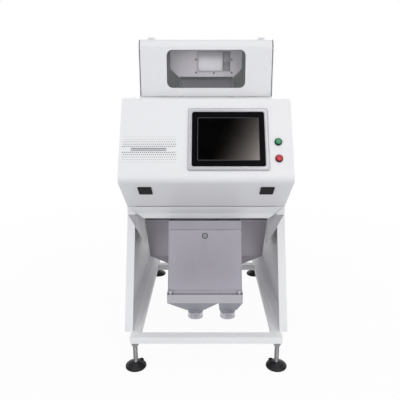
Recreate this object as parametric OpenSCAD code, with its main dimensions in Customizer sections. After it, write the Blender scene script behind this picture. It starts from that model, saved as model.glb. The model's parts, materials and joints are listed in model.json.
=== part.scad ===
// Optical colour sorter: one feed chute, touch screen, swing-up control box
// Frame: origin on the floor below the middle, +X to the operator's right,
// +Y to the back, +Z up. Profiles are drawn as [y, z] points and run along X.

/* [Overall] */
// Width over the side panels
machine_w = 700; // [640:1:760]
// Depth of the base frame, front bar to rear bar
frame_d = 1000; // [960:1:1040]
// Height of the frame's underside above the floor
frame_z = 122; // [110:1:140]
// Back of the side panels, from the middle
panel_back = 470; // [465:1:475]

/* [Sheet metal] */
// Thickness of the painted sheet
sheet = 2.5; // [1.5:0.1:3]
// Thickness of the stainless sheet
thin_sheet = 2; // [1:0.1:2.5]
// Gap left between painted covers
cover_gap = 2; // [1:0.1:4]
// Depth of the folded edge of a side panel
fold_d = 34; // [30:0.5:36]

/* [Base frame] */
// Width of a frame tube
tube_w = 40; // [36:1:44]
// Height of a frame tube
tube_h = 30; // [25:1:35]
// Wall of a frame tube
tube_wall = 3; // [2:0.1:4]
// Middle of the cross bar behind the bin
mid_bar_y = 285; // [250:1:320]
// Width of rail that a side panel's fold stands on
rail_seat = 6; // [4:0.5:10]

/* [Levelling feet] */
// Distance of a foot's axis from the side of the base frame
foot_inset = 18.5; // [16:0.5:21]
// Diameter of a foot pad
pad_d = 90; // [80:1:90]
// Height of a foot pad
pad_h = 26; // [24:1:30]
// Diameter of a foot's stud
stud_d = 20; // [16:1:22]
// Width across the flats of a lock nut
nut_flats = 32; // [28:1:34]
// Height of a lock nut
nut_h = 18; // [12:1:20]
// Diameter of an anchor hole in a foot pad
anchor_d = 11; // [8:0.5:12]
// Distance of an anchor hole from the foot's axis
anchor_r = 30; // [28:0.5:32]

/* [Control box] */
// Depth of the control box's flat top
box_top_d = 164; // [150:1:175]
// Height of the control box's top
box_top_z = 1124; // [1122:1:1128]
// How far the lower edge stands in front of the middle
box_nose_y = 453; // [440:1:460]
// Height of the lower edge
box_nose_z = 815; // [800:1:830]
// Height of the seam under the box
box_seam_z = 657; // [650:1:664]
// Distance of the seam in front of the middle
box_seam_y = 254; // [250:1:258]
// Distance of the top's back edge in front of the middle
box_back_y = 100; // [98:1:103]
// Outside radius of the lower bend
nose_r = 28; // [10:1:35]
// Outside radius of a hinge knuckle
hinge_r = 5; // [4:0.1:6]
// Radius of the hinge pins
hinge_pin_r = 2.5; // [2:0.1:3]
// Length of a hinge
hinge_len = 31; // [24:1:40]
// Distance of the control box's hinges from the middle
box_hinge_x = 250; // [150:1:300]

/* [Touch screen] */
// Width of the display
display_w = 246; // [200:1:250]
// Height of the display
display_h = 184; // [150:1:188]
// Width of the black bezel
bezel_w = 296; // [290:1:300]
// Height of the black bezel
bezel_h = 240; // [230:1:244]
// Width of the silver frame
trim_w = 328; // [322:1:334]
// Height of the silver frame
trim_h = 272; // [262:1:280]
// Corner radius of the silver frame
trim_r = 9; // [4:0.5:14]
// Thickness of the silver frame
trim_t = 5; // [3:0.5:8]
// Middle of the screen to the right of the middle
screen_x = 90; // [80:1:100]
// Middle of the screen down the panel
screen_s = 183; // [178:1:188]
// Depth of the computer behind the screen
computer_d = 52; // [40:1:70]

/* [Buttons] */
// Diameter of a button's black ring
ring_d = 31; // [28:0.5:34]
// Diameter of a button's head
head_d = 25; // [22:0.5:26]
// Height of a button's ring
ring_h = 5; // [3:0.5:7]
// Height of a button's head above the panel
head_h = 11; // [9.5:0.5:14]
// Travel of a button
button_travel = 4; // [2:0.5:4]
// Middle of the buttons to the right of the middle
button_x = 291; // [284:1:300]
// Start button's place down the panel
start_s = 196; // [190:1:210]
// Stop button's place down the panel
stop_s = 268; // [250:1:280]

/* [Vent and latches] */
// Length of the vent
vent_w = 149; // [120:1:170]
// Height of the vent
vent_h = 15; // [12:0.5:18]
// Middle of the vent to the left of the middle
vent_x = 231; // [225:1:237]
// Middle of the vent down the panel
vent_s = 228; // [215:1:240]
// Width of a latch
latch_w = 56; // [40:1:70]
// Length of a latch
latch_l = 65; // [50:1:75]
// Distance of the latches from the middle
latch_x = 250; // [200:1:280]
// Middle of a latch from the lower edge
latch_s = 88; // [80:1:95]
// Rim of a latch's housing
latch_rim = 5; // [4:0.5:8]

/* [Feeder housing] */
// Width of the feeder housing
house_w = 600; // [580:1:640]
// Front of the feeder housing, in front of the middle
house_front = 84; // [80:1:88]
// Back of the feeder housing, behind the middle
house_back = 420; // [400:1:440]
// Height of the housing's top
house_z = 1374; // [1360:1:1390]
// Radius of the cover's top bend
cover_r = 40; // [20:1:50]
// Width of the window
window_w = 352; // [300:1:380]
// Height of the window
window_h = 164; // [140:1:170]
// Corner radius of the window
window_r = 26; // [10:1:40]
// Height of the window's lower edge
window_z = 1164; // [1150:1:1170]
// Distance of the cover's hinges from the middle
cover_hinge_x = 247; // [180:1:260]
// Diameter of the product inlet
inlet_d = 200; // [160:1:220]
// Middle of the product inlet behind the middle
inlet_y = 290; // [280:1:300]
// Height of the inlet's collar above the housing
collar_h = 13; // [8:1:14]

/* [Feeder and chute] */
// Width of the chute's running face
chute_w = 254; // [220:1:260]
// Thickness of the chute
chute_t = 4; // [3:0.5:6]
// Height of the chute's side walls
chute_wall = 24; // [15:1:26]
// Width of the feeder's front plate
plate_w = 348; // [330:1:380]
// Front of the feeder's front plate, behind the middle
plate_y = 118; // [116:1:124]
// Size of the front plate's cut corners
plate_cut = 41; // [20:1:50]
// Width of the vibrating tray
tray_w = 300; // [270:1:320]
// Stroke of the vibrating tray each way
tray_stroke = 1.5; // [0.5:0.1:2]

/* [Collecting bin] */
// Middle of the bin to the left of the middle
bin_left = 5; // [0:0.5:8]
// Width of the bin
bin_w = 320; // [300:1:340]
// Height of the bin's top
bin_top_z = 598; // [590:1:600]
// Distance of the bin's top front edge in front of the middle
bin_top_y = 287; // [283:1:292]
// Height of the bin's lower edge
bin_low_z = 309; // [305:1:315]
// Distance of the bin's lower front edge in front of the middle
bin_low_y = 411; // [400:1:420]
// Depth of the bin at its top
bin_top_d = 102; // [95:1:104]
// Depth of the bin at its lower edge
bin_low_d = 156; // [145:1:165]
// Height of the fixed band above the bin's door
bin_band = 38; // [30:1:50]
// Height of the flange below the bin
flange_h = 40.5; // [35:0.5:45]
// Width of the flange beside the bin
flange_lip = 3; // [2:0.5:6]
// Diameter of an outlet
outlet_d = 66; // [60:1:72]
// Length of an outlet
outlet_l = 28; // [20:1:40]
// Height of an outlet's lower end
outlet_z = 164; // [154:1:170]
// Middle of the left outlet to the left of the bin's middle
outlet_left_x = 43; // [40:1:60]
// Middle of the right outlet to the right of the bin's middle
outlet_right_x = 102; // [100:1:106]
// Middle of the outlets in front of the middle
outlet_y = 340; // [335:1:345]
// Divider's place to the right of the bin's middle
divider_x = 59; // [52:1:62]
// Length of a hinge under the bin's door
bin_hinge_len = 20; // [16:1:30]
// Diameter of the bin's lock
lock_d = 20; // [19:0.5:24]
// Middle of the lock below the door's top edge
lock_s = 26; // [20:1:36]

/* [Hidden] */
$fn = 48;

// Running clearance of a pin in its bore, and gap between parts that slide past each other
fit = 0.05;
run_gap = 0.5;
// Overlap that makes a cut clean
cut = 1;

white = [0.93, 0.93, 0.92];
steel = [0.72, 0.73, 0.75];
black = [0.05, 0.05, 0.05];
dark = [0.3, 0.31, 0.33];

side_x = machine_w / 2;
inner_x = side_x - fold_d;
chamber_x = inner_x - thin_sheet;
frame_w = 2 * (inner_x + rail_seat);
frame_top = frame_z + tube_h;
end_bar_y = frame_d / 2 - tube_w / 2;
foot_x = frame_w / 2 - foot_inset;
rear_y = panel_back - sheet;
deck_drop = 6;
deck_z = box_top_z - deck_drop;
deck_top = deck_z + sheet;

// Control box profile: top back, top front, nose, seam
box_a = [-box_back_y, box_top_z];
box_b = [-box_back_y - box_top_d, box_top_z];
box_c = [-box_nose_y, box_nose_z];
box_d = [-box_seam_y, box_seam_z];
box_top_r = 8;
panel_tilt = atan2(box_b.y - box_c.y, box_b.x - box_c.x);
lower_tilt = atan2(box_c.y - box_d.y, box_c.x - box_d.x);

// Back of the control box at a height
function box_back(z) =
  box_d.x + (z - box_d.y) * (box_a.x - box_d.x) / (box_a.y - box_d.y);

// Sill under the control box, with a mitred panel that leans back, and the lip under it
sill_d = 36;
sill_h = 34;
sill_top = box_seam_z - cover_gap;
sill_low = sill_top - sill_h;
sill_out = 2;
sill_front = -box_seam_y - sill_out;
sill_back = sill_front + sill_d;
sill_lean = 14;
miter_top = 6;
miter_low = 38;
lip_drop = 22;
lip_run = -8;
lip_miter = 34;
lip_y = sill_front + sill_lean;

// Side panel's toe on the rail, the slanting cut in its front fold, and the chamber's lower edge
toe_inset = 45;
toe_y = toe_inset - frame_d / 2;
fold_cut = 50;
chamber_low = [133, 330];
shelf_front = 150;
shelf_z = 606;
shelf_top = shelf_z + sheet;

// Collecting bin: top front, lower front, lower back, top back
bin_a = [-bin_top_y, bin_top_z];
bin_b = [-bin_low_y, bin_low_z];
bin_c = [bin_b.x + bin_low_d, bin_low_z];
bin_d = [bin_a.x + bin_top_d, bin_top_z];
bin_tilt = atan2(bin_a.y - bin_b.y, bin_a.x - bin_b.x);
bin_slope = norm(bin_a - bin_b);
door_t = 3;
door_gap = 1;
door_end = 12;
door_top_s = bin_band + door_gap;
door_low_s = bin_slope - door_end;
frame_edge = 14;

// Rear collecting funnel, front top to back top
funnel_x = chamber_x - 30;
funnel_mid = 332;
funnel_low = 235;
funnel_front = [-180, 571];
funnel_throat = [-39, 25];
funnel_out_x = 60;

// Gusset that leads in from the side panel's outer wall to the funnel's corner
gusset_out = [side_x - sheet - run_gap, sill_front + 6];
gusset_in = [funnel_x + 1, funnel_front.x];
gusset_drop = [15, 171];
function gusset_part(x) = (gusset_out.x - x) / (gusset_out.x - gusset_in.x);
function gusset_y(x) = gusset_out.y + gusset_part(x) * (gusset_in.y - gusset_out.y);
function gusset_low(x) = sill_low - gusset_drop[0] - gusset_part(x) * (gusset_drop[1] - gusset_drop[0]);

// Chute from the tray's end down to the cameras
chute_top = [130, 1214];
chute_end_z = 755;
chute_angle = 61.7;
chute_dir = [-cos(chute_angle), -sin(chute_angle)];
chute_up = [-sin(chute_angle), cos(chute_angle)];
chute_len = (chute_top.y - chute_end_z) / sin(chute_angle);
chute_wall_start = 30;
beam = 30;
beam_places = [130, 420];

// Vibrating tray under the hopper
tray_floor = 1232;
tray_h = 30;
tray_t = 3;
plate_t = 3;
tray_room = 5.5;
tray_y = [plate_y + plate_t + tray_stroke + tray_room, 345];
base_h = 30;

function unit(v) = v / norm(v);
function inward(a, b) = [a.y - b.y, b.x - a.x] / norm(b - a);

// Outline moved inwards, with its own distance for each edge
function inset(p, d) = [
  for (i = [0 : len(p) - 1])
    let (
      k = (i + len(p) - 1) % len(p),
      m = inward(p[k], p[i]),
      n = inward(p[i], p[(i + 1) % len(p)])
    )
    p[i] + [d[k] * n.y - d[i] * m.y, d[i] * m.x - d[k] * n.x] / (m.x * n.y - m.y * n.x)
];

// Corner b between a and c as an arc
function corner(a, b, c, r, steps = 10) =
  r <= 0 ? [b] :
  let (
    u = unit(a - b),
    w = unit(c - b),
    half = acos(u * w) / 2,
    o = b + unit(u + w) * r / sin(half),
    p = b + u * r / tan(half) - o,
    q = b + w * r / tan(half) - o,
    start = atan2(p.y, p.x),
    turn = (atan2(q.y, q.x) - start + 540) % 360 - 180
  )
  [for (k = [0 : steps]) o + r * [cos(start + turn * k / steps), sin(start + turn * k / steps)]];

function rounded(p, r) = [
  for (i = [0 : len(p) - 1])
    each corner(p[(i + len(p) - 1) % len(p)], p[i], p[(i + 1) % len(p)], r[i])
];

// Profile of [y, z] points run from x0 to x1
module along_x(x0, x1) {
  translate([x0, 0, 0]) rotate([90, 0, 90]) linear_extrude(x1 - x0) children();
}

// Profile of [x, z] points run from y0 to y1
module along_y(y0, y1) {
  translate([0, y1, 0]) rotate([90, 0, 0]) linear_extrude(y1 - y0) children();
}

module span(low, high) {
  translate(low) cube(high - low);
}

// Round bar along X, Y or Z between two places
module bar_x(x0, x1, r) {
  translate([x0, 0, 0]) rotate([0, 90, 0]) cylinder(h = x1 - x0, r = r);
}

module bar_y(y0, y1, r) {
  translate([0, y1, 0]) rotate([90, 0, 0]) cylinder(h = y1 - y0, r = r);
}

module round_rect(w, h, r) {
  square([w - 2 * r, h], center = true);
  square([w, h - 2 * r], center = true);
  for (x = [-1, 1], y = [-1, 1]) translate([x * (w / 2 - r), y * (h / 2 - r)]) circle(r);
}

module slab(w, h, r, low, high) {
  translate([0, 0, low]) linear_extrude(high - low) round_rect(w, h, r);
}

// Places on the slanted panel, the lower face and the bin's front:
// x across, s down the slope, local Z out of the face
module on_panel(x, s) {
  translate([0, box_b.x, box_b.y]) rotate([panel_tilt, 0, 0]) translate([x, -s, 0]) children();
}

module on_lower(x, s) {
  translate([0, box_c.x, box_c.y]) rotate([lower_tilt, 0, 0]) translate([x, -s, 0]) children();
}

module on_bin(x, s) {
  translate([0, bin_a.x, bin_a.y]) rotate([bin_tilt, 0, 0]) translate([x, -s, 0]) children();
}

// Hinge of three knuckles along X, each on a foot given as a [y, z] box:
// the middle knuckle is fixed and holds the pin, the outer two turn on it
knuckle_part = 0.2;
knuckle_gap = 0.3;
hinge_foot = 4;
module hinge_fixed(low, high, long = hinge_len) {
  half = long * knuckle_part;
  bar_x(-half, half, hinge_r);
  bar_x(-long / 2, long / 2, hinge_pin_r);
  span([-half, low.x, low.y], [half, high.x, high.y]);
}

module hinge_moving(low, high, long = hinge_len) {
  x0 = long * knuckle_part + knuckle_gap;
  for (side = [0, 1])
    mirror([side, 0, 0])
      difference() {
        union() {
          bar_x(x0, long / 2, hinge_r);
          span([x0, low.x, low.y], [long / 2, high.x, high.y]);
        }
        bar_x(0, long, hinge_pin_r + fit);
      }
}

// Tube of the base frame along X or Y, open at its ends
module tube_x(x0, x1, y) {
  difference() {
    span([x0, y - tube_w / 2, frame_z], [x1, y + tube_w / 2, frame_top]);
    span(
      [x0 - cut, y - tube_w / 2 + tube_wall, frame_z + tube_wall],
      [x1 + cut, y + tube_w / 2 - tube_wall, frame_top - tube_wall]);
  }
}

module end_bar(y) {
  color(white) difference() {
    tube_x(-frame_w / 2, frame_w / 2, y);
    for (x = [-1, 1])
      translate([x * foot_x, y, frame_z - cut])
        cylinder(h = tube_wall + 2 * cut, r = stud_d / 2 + fit);
  }
}

module front_bar() {
  end_bar(-end_bar_y);
}

module rear_bar() {
  end_bar(end_bar_y);
}

module mid_bar() {
  x = frame_w / 2 - tube_w;
  color(white) tube_x(-x, x, mid_bar_y);
}

module side_rails() {
  y = frame_d / 2 - tube_w;
  color(white) for (x = [-1, 1] * (frame_w / 2 - tube_w / 2))
    difference() {
      span([x - tube_w / 2, -y, frame_z], [x + tube_w / 2, y, frame_top]);
      span(
        [x - tube_w / 2 + tube_wall, -y - cut, frame_z + tube_wall],
        [x + tube_w / 2 - tube_wall, y + cut, frame_top - tube_wall]);
    }
}

nut_taper = 0.8;
module lock_nuts() {
  r = nut_flats / 2 / cos(30);
  color(steel) for (x = [-1, 1], y = [-1, 1])
    translate([x * foot_x, y * end_bar_y, frame_z - nut_h])
      difference() {
        intersection() {
          cylinder(h = nut_h, r = r, $fn = 6);
          cylinder(h = nut_h, r1 = r * nut_taper, r2 = r);
        }
        translate([0, 0, -cut]) cylinder(h = nut_h + 2 * cut, r = stud_d / 2 + fit);
      }
}

// Levelling foot: a domed pad with two bosses for anchors, and its threaded stud
pad_rim = 8;
pad_round = 2;
pad_neck = 17;
neck_h = 3;
shoulder = [8, 9];
stud_seat = 10;
stud_reach = 22;
lug_r = 10;
lug_h = 22;
lug_turn = 45;
module levelling_foot(side, end) {
  r = pad_d / 2;
  translate([side * foot_x, end * end_bar_y, 0]) rotate(lug_turn * side * end) {
    color(black) difference() {
      union() {
        rotate_extrude() polygon([
          [0, 0], [r - pad_round, 0], [r, pad_round], [r, pad_rim - pad_round], [r - pad_round, pad_rim],
          [pad_neck + shoulder.x, pad_h - shoulder.y], [pad_neck, pad_h - neck_h], [pad_neck, pad_h],
          [0, pad_h]
        ]);
        for (x = [-1, 1] * anchor_r) translate([x, 0, 0]) cylinder(h = lug_h, r = lug_r);
      }
      for (x = [-1, 1] * anchor_r)
        translate([x, 0, -cut]) cylinder(h = pad_h + 2 * cut, r = anchor_d / 2);
      translate([0, 0, stud_seat]) cylinder(h = pad_h, r = stud_d / 2 + fit);
    }
    color(steel) translate([0, 0, stud_seat])
      cylinder(h = frame_z + stud_reach - stud_seat, r = stud_d / 2);
  }
}

module foot_front_left() { levelling_foot(-1, -1); }
module foot_front_right() { levelling_foot(1, -1); }
module foot_rear_left() { levelling_foot(-1, 1); }
module foot_rear_right() { levelling_foot(1, 1); }

// Side panel: a folded pan with its open side inwards, its front fold cut slanting under the sill
panel_outline = [
  [toe_y, frame_top],
  [panel_back, frame_top],
  [panel_back, deck_z],
  [box_back(deck_z) + cover_gap, deck_z],
  [box_back(sill_top) + cover_gap, sill_top],
  [sill_back, sill_top],
  [sill_back, sill_low],
  [sill_front, sill_low]
];
module side_panel() {
  color(white) difference() {
    along_x(inner_x, side_x) polygon(panel_outline);
    along_x(inner_x - cut, side_x - sheet)
      polygon(inset(panel_outline, [for (p = panel_outline) sheet]));
    along_y(toe_y, sill_back) polygon([
      [inner_x - cut, sill_low - fold_cut], [inner_x, sill_low - fold_cut],
      [side_x - sheet, sill_low - sheet],
      [inner_x - cut, sill_low - sheet]
    ]);
  }
}

module side_panel_left() { mirror([1, 0, 0]) side_panel(); }
module side_panel_right() { side_panel(); }

// Plates that close the sorting chamber at both sides, each with its gusset in front
module chamber_sides() {
  high = sill_low - sheet - run_gap;
  front = gusset_y(inner_x);
  color(white) for (side = [0, 1]) mirror([side, 0, 0]) {
    along_x(chamber_x, inner_x) polygon([
      [front, sill_low], [front, gusset_low(inner_x)], chamber_low,
      [shelf_front, chamber_low.y], [shelf_front, shelf_z], [rear_y, shelf_z], [rear_y, deck_z],
      [box_back(deck_z) + cover_gap, deck_z], [box_back(sill_top) + cover_gap, sill_top],
      [sill_back, sill_top], [sill_back, sill_low]
    ]);
    intersection() {
      linear_extrude(high) polygon([
        gusset_out, gusset_in, [gusset_in.x, gusset_in.y + thin_sheet],
        [gusset_out.x, gusset_out.y + thin_sheet]
      ]);
      along_y(gusset_out.y - cut, gusset_in.y + thin_sheet + cut) polygon([
        [gusset_out.x, gusset_low(gusset_out.x)], [gusset_out.x, high],
        [gusset_in.x, high], [gusset_in.x, gusset_low(gusset_in.x)]
      ]);
    }
  }
}

// Folded channel across the front below the control box, open to the back
module sill() {
  top_x = side_x - miter_top;
  low_x = side_x - miter_low;
  color(white) difference() {
    span([-side_x, sill_front, sill_low], [side_x, sill_back, sill_top]);
    intersection() {
      along_x(-side_x, side_x) polygon([
        [sill_front - cut, sill_top], [sill_front, sill_top], [lip_y, sill_low],
        [lip_y, sill_low - cut], [sill_front - cut, sill_low - cut]
      ]);
      along_y(sill_front - cut, sill_back) polygon([
        [-top_x, sill_top], [top_x, sill_top], [low_x, sill_low], [low_x, sill_low - cut],
        [-low_x, sill_low - cut], [-low_x, sill_low]
      ]);
    }
    along_x(-side_x + sheet, side_x - sheet) polygon([
      [sill_front + sheet, sill_top - sheet], [lip_y + sheet, sill_low + sheet],
      [sill_back + cut, sill_low + sheet], [sill_back + cut, sill_top - sheet]
    ]);
  }
}

// Slanting deflector from the sill down over the bin's mouth
module lip() {
  low_y = lip_y + lip_run;
  low_z = sill_low - lip_drop;
  top_x = inner_x - cover_gap;
  low_x = top_x - lip_miter;
  color(white) intersection() {
    along_x(-side_x, side_x) polygon([
      [lip_y, sill_low], [low_y, low_z], [low_y + sheet, low_z], [lip_y + sheet, sill_low]
    ]);
    along_y(min(lip_y, low_y) - cut, max(lip_y, low_y) + sheet + cut)
      polygon([[-top_x, sill_low], [top_x, sill_low], [low_x, low_z], [-low_x, low_z]]);
  }
}

module shelf() {
  color(steel) span([-chamber_x, shelf_front, shelf_z], [chamber_x, rear_y, shelf_top]);
}

// Fan, gland and air fittings on the rear cover: x across, z up
fan_at = [inner_x - 166, 900];
fan_size = 120;
fan_r = 56;
gland_at = [inner_x - 116, 660];
gland_r = 10;
regulator_x = 86 - inner_x;
regulator_w = 50;
port_r = 6.6;
screw_r = 4;
screw_h = 3;
screw_edge = 14;
screw_places = [0.12, 0.5, 0.88];

module rear_cover() {
  edge = inner_x - cover_gap;
  color(white) difference() {
    union() {
      span([-edge, rear_y, shelf_z], [edge, panel_back, deck_z]);
      for (x = [-1, 1], z = screw_places)
        translate([x * (edge - screw_edge), 0, shelf_z + (deck_z - shelf_z) * z])
          bar_y(panel_back - cut, panel_back + screw_h, screw_r);
    }
    translate([fan_at.x, 0, fan_at.y]) bar_y(rear_y - cut, panel_back + cut, fan_r);
    translate([gland_at.x, 0, gland_at.y]) bar_y(rear_y - cut, panel_back + cut, gland_r + fit);
    translate([regulator_x, 0, air_z]) bar_y(rear_y - cut, panel_back + cut, air_r);
  }
}

// Deck over the chamber, with the chute's slot and the control box's hinges
box_axis = [-box_back_y + cover_gap, box_top_z - hinge_r + run_gap];
deck_front = box_axis.x + hinge_r + run_gap;
slot_y = [20, 92];
slot_room = 10;
module top_deck() {
  slot_x = chute_w / 2 + chute_t + slot_room;
  color(white) {
    difference() {
      span([-side_x, deck_front, deck_z], [side_x, panel_back, deck_top]);
      span([-slot_x, slot_y[0], deck_z - cut], [slot_x, slot_y[1], deck_top + cut]);
    }
    for (x = [-1, 1]) translate([x * box_hinge_x, box_axis.x, box_axis.y])
      hinge_fixed([0, deck_z - box_axis.y], [hinge_r + run_gap + cut, deck_top - box_axis.y]);
  }
}

// Feeder housing: sides, top and back in one sheet, open at the front for its cover
house_x = house_w / 2;
cover_side_gap = 4;
axis_back = 14;
cover_x = house_x - sheet - cover_side_gap;
cover_axis = [-house_front + cover_r + axis_back, house_z + hinge_r + cut];
house_outline = [
  [-house_front, deck_top], [house_back, deck_top], [house_back, house_z], [-house_front, house_z]
];
stop_w = 18;
module house_profile(d) {
  polygon(rounded(inset(house_outline, [-cut, d, d, d]), [0, 0, 0, cover_r - d]));
}

module feeder_housing() {
  color(white) {
    difference() {
      intersection() {
        along_x(-house_x, house_x) house_profile(0);
        span([-house_x, -house_front, deck_top], [house_x, house_back, house_z]);
      }
      along_x(-house_x + sheet, house_x - sheet) house_profile(sheet);
      span(
        [-house_x + sheet, -house_front - cut, deck_top - cut],
        [house_x - sheet, cover_axis.x + cover_gap, house_z + cut]);
      translate([0, inlet_y, house_z - sheet - cut]) cylinder(h = sheet + 2 * cut, r = inlet_d / 2 - sheet);
    }
    for (side = [0, 1]) mirror([side, 0, 0])
      span(
        [house_x - sheet - stop_w, -house_front + sheet + run_gap, deck_top],
        [house_x - sheet, -house_front + 2 * sheet + run_gap, house_z - cover_r]);
    for (x = [-1, 1]) translate([x * cover_hinge_x, cover_axis.x, cover_axis.y])
      hinge_fixed([cover_gap, house_z - cover_axis.y - sheet / 2], [hinge_r + cover_gap, 0]);
  }
}

// Window cover with its rolled top edge, hung on two hinges
module window_cover() {
  low_z = box_top_z + cover_gap;
  window_mid = window_z + window_h / 2;
  color(white) {
    difference() {
      along_x(-cover_x, cover_x) intersection() {
        difference() {
          house_profile(0);
          house_profile(sheet);
        }
        translate([-house_front, low_z]) square([house_front + cover_axis.x, house_z - low_z]);
      }
      translate([0, 0, window_mid]) along_y(-house_front - cut, -house_front + sheet + cut)
        round_rect(window_w, window_h, window_r);
    }
    for (x = [-1, 1]) translate([x * cover_hinge_x, cover_axis.x, cover_axis.y])
      hinge_moving([-hinge_r - hinge_foot, house_z - cover_axis.y - sheet / 2], [0, 0]);
  }
}

pane_edge = 5;
pane_t = 3;
module window_pane() {
  color([0.8, 0.9, 0.95, 0.3])
    translate([0, 0, window_z + window_h / 2])
      along_y(-house_front + sheet, -house_front + sheet + pane_t)
        round_rect(window_w + 2 * pane_edge, window_h + 2 * pane_edge, window_r);
}

// Collar that a feed pipe slides over, on a flange
collar_flange = 12;
module inlet_collar() {
  color(steel) translate([0, inlet_y, house_z]) difference() {
    union() {
      cylinder(h = collar_h, r = inlet_d / 2);
      cylinder(h = sheet, r = inlet_d / 2 + collar_flange);
    }
    translate([0, 0, -cut]) cylinder(h = collar_h + 2 * cut, r = inlet_d / 2 - sheet);
  }
}

// Four-sided hopper: two profiles that cross, hollowed by the same profiles moved inwards
module crossed(yz, xz) {
  intersection() {
    along_x(-machine_w, machine_w) polygon(yz);
    along_y(-machine_w, machine_w) polygon(xz);
  }
}

hopper_top = house_z - sheet;
hopper_x = 118;
hopper_low = tray_floor + 33;
hopper_mouth = [236, 300];
gate_knee = 1302;
gate_t = 3;
guide = 8;
module feed_hopper() {
  yz = [
    [inlet_y - hopper_x, hopper_top], [hopper_mouth[0], gate_knee], [hopper_mouth[0], hopper_low],
    [hopper_mouth[1], hopper_low], [inlet_y + hopper_x, hopper_top]
  ];
  xz = [
    [-hopper_x, hopper_top], [-hopper_x, hopper_low], [hopper_x, hopper_low], [hopper_x, hopper_top]
  ];
  guide_y = hopper_mouth[0] - gate_t - 2 * run_gap;
  color(steel) {
    difference() {
      crossed(yz, xz);
      crossed(
        inset(yz, [thin_sheet, thin_sheet, -cut, thin_sheet, -cut]),
        inset(xz, [thin_sheet, -cut, thin_sheet, -cut]));
    }
    for (side = [0, 1]) mirror([side, 0, 0])
      along_x(hopper_x - guide, hopper_x) difference() {
        translate([guide_y - thin_sheet, hopper_low])
          square([hopper_mouth[0] - guide_y + thin_sheet, gate_knee - hopper_low]);
        translate([guide_y, hopper_low - cut])
          square([gate_t + 2 * run_gap, gate_knee - hopper_low + 2 * cut]);
      }
  }
}

// Gate that slides up in front of the hopper's mouth and sets the layer of product
gate_low = tray_floor + 12;
gate_h = 30;
grip_w = 60;
grip_d = 18;
module feed_gate() {
  y = hopper_mouth[0] - gate_t - run_gap;
  color(steel) {
    span([-hopper_x, y, gate_low], [hopper_x, y + gate_t, gate_low + gate_h]);
    span([-grip_w / 2, y - grip_d, gate_low + gate_h - gate_t], [grip_w / 2, y, gate_low + gate_h]);
  }
}

module feeder_tray() {
  x = tray_w / 2;
  color(steel) difference() {
    span([-x, tray_y[0], tray_floor], [x, tray_y[1], tray_floor + tray_h]);
    span(
      [-x + tray_t, tray_y[0] - cut, tray_floor + tray_t],
      [x - tray_t, tray_y[1] - tray_t, tray_floor + tray_h + cut]);
  }
}

// Base, drive magnet and the two leaf springs that carry the tray
drive_x = 100;
drive_y = [175, 335];
magnet_x = 60;
magnet_d = 100;
magnet_gap = 15;
leaf_t = 3;
leaf_low = 5;
leaf_gap = 0.3;
module feeder_drive() {
  mid = (drive_y[0] + drive_y[1]) / 2;
  color(dark) {
    span([-drive_x, drive_y[0], deck_top], [drive_x, drive_y[1], deck_top + base_h]);
    span(
      [-magnet_x, mid - magnet_d / 2, deck_top + base_h],
      [magnet_x, mid + magnet_d / 2, tray_floor - magnet_gap]);
    for (y = [drive_y[0] - leaf_t, drive_y[1]])
      span([-magnet_x, y, deck_top + leaf_low], [magnet_x, y + leaf_t, tray_floor - leaf_gap]);
  }
}

// Plate in front of the tray that turns the product down on to the chute
plate_low = 1210;
ledge_x = [-37, 79];
ledge_z = [1241, 1330];
ledge_d = 22;
strip_x = [84, 117];
strip_z = [1222, 1332];
module feeder_plate() {
  x = plate_w / 2;
  color([0.78, 0.79, 0.8]) {
    along_y(plate_y, plate_y + plate_t) polygon([
      [-x + plate_cut, plate_low], [x - plate_cut, plate_low], [x, plate_low + plate_cut],
      [x, hopper_top], [-x, hopper_top], [-x, plate_low + plate_cut]
    ]);
    span([ledge_x[0], plate_y - ledge_d, ledge_z[0]], [ledge_x[1], plate_y, ledge_z[1]]);
    span([strip_x[0], plate_y - plate_t, strip_z[0]], [strip_x[1], plate_y, strip_z[1]]);
  }
}

plate_screws = [[-49, 1234], [38, 1231], [125, 1234], [-49, 1295], [125, 1295]];
plate_screw_r = 5;
module feeder_screws() {
  color(dark) for (p = plate_screws)
    translate([p.x, 0, p.y]) bar_y(plate_y - screw_h, plate_y, plate_screw_r);
}

// Chute: a straight channel leaning forward
function chute_at(s, up) = chute_top + chute_dir * s + chute_up * up;
module chute() {
  x = chute_w / 2;
  color(steel) {
    along_x(-x - chute_t, x + chute_t) polygon([
      chute_at(0, 0), chute_at(0, -chute_t), chute_at(chute_len, -chute_t), chute_at(chute_len, 0)
    ]);
    for (side = [0, 1]) mirror([side, 0, 0])
      along_x(x, x + chute_t) polygon([
        chute_at(chute_wall_start, chute_wall), chute_at(chute_wall_start, -chute_t / 2),
        chute_at(chute_len, -chute_t / 2), chute_at(chute_len, chute_wall)
      ]);
  }
}

module chute_beams() {
  color(steel) for (s = beam_places)
    along_x(-chamber_x, chamber_x) polygon([
      chute_at(s, -chute_t - fit), chute_at(s, -chute_t - beam),
      chute_at(s + beam, -chute_t - beam), chute_at(s + beam, -chute_t - fit)
    ]);
}

// Camera boxes in front of and behind the falling product, each with two lenses
lens_r = 14;
lens_l = 18;
lens_x = 70;
box_room = 7;
front_box_z = [775, 895];
front_box_d = [58, 76];
module front_camera() {
  low = front_box_z[0];
  high = front_box_z[1];
  color(dark) {
    along_x(-chamber_x, chamber_x) polygon([
      [box_back(low) + box_room, low], [box_back(low) + box_room + front_box_d[0], low],
      [box_back(high) + box_room + front_box_d[1], high], [box_back(high) + box_room, high]
    ]);
    for (x = [-1, 1]) translate([x * lens_x, box_back(low) + front_box_d[0] / 2, low - lens_l])
      cylinder(h = lens_l + cut, r = lens_r);
  }
}

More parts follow.
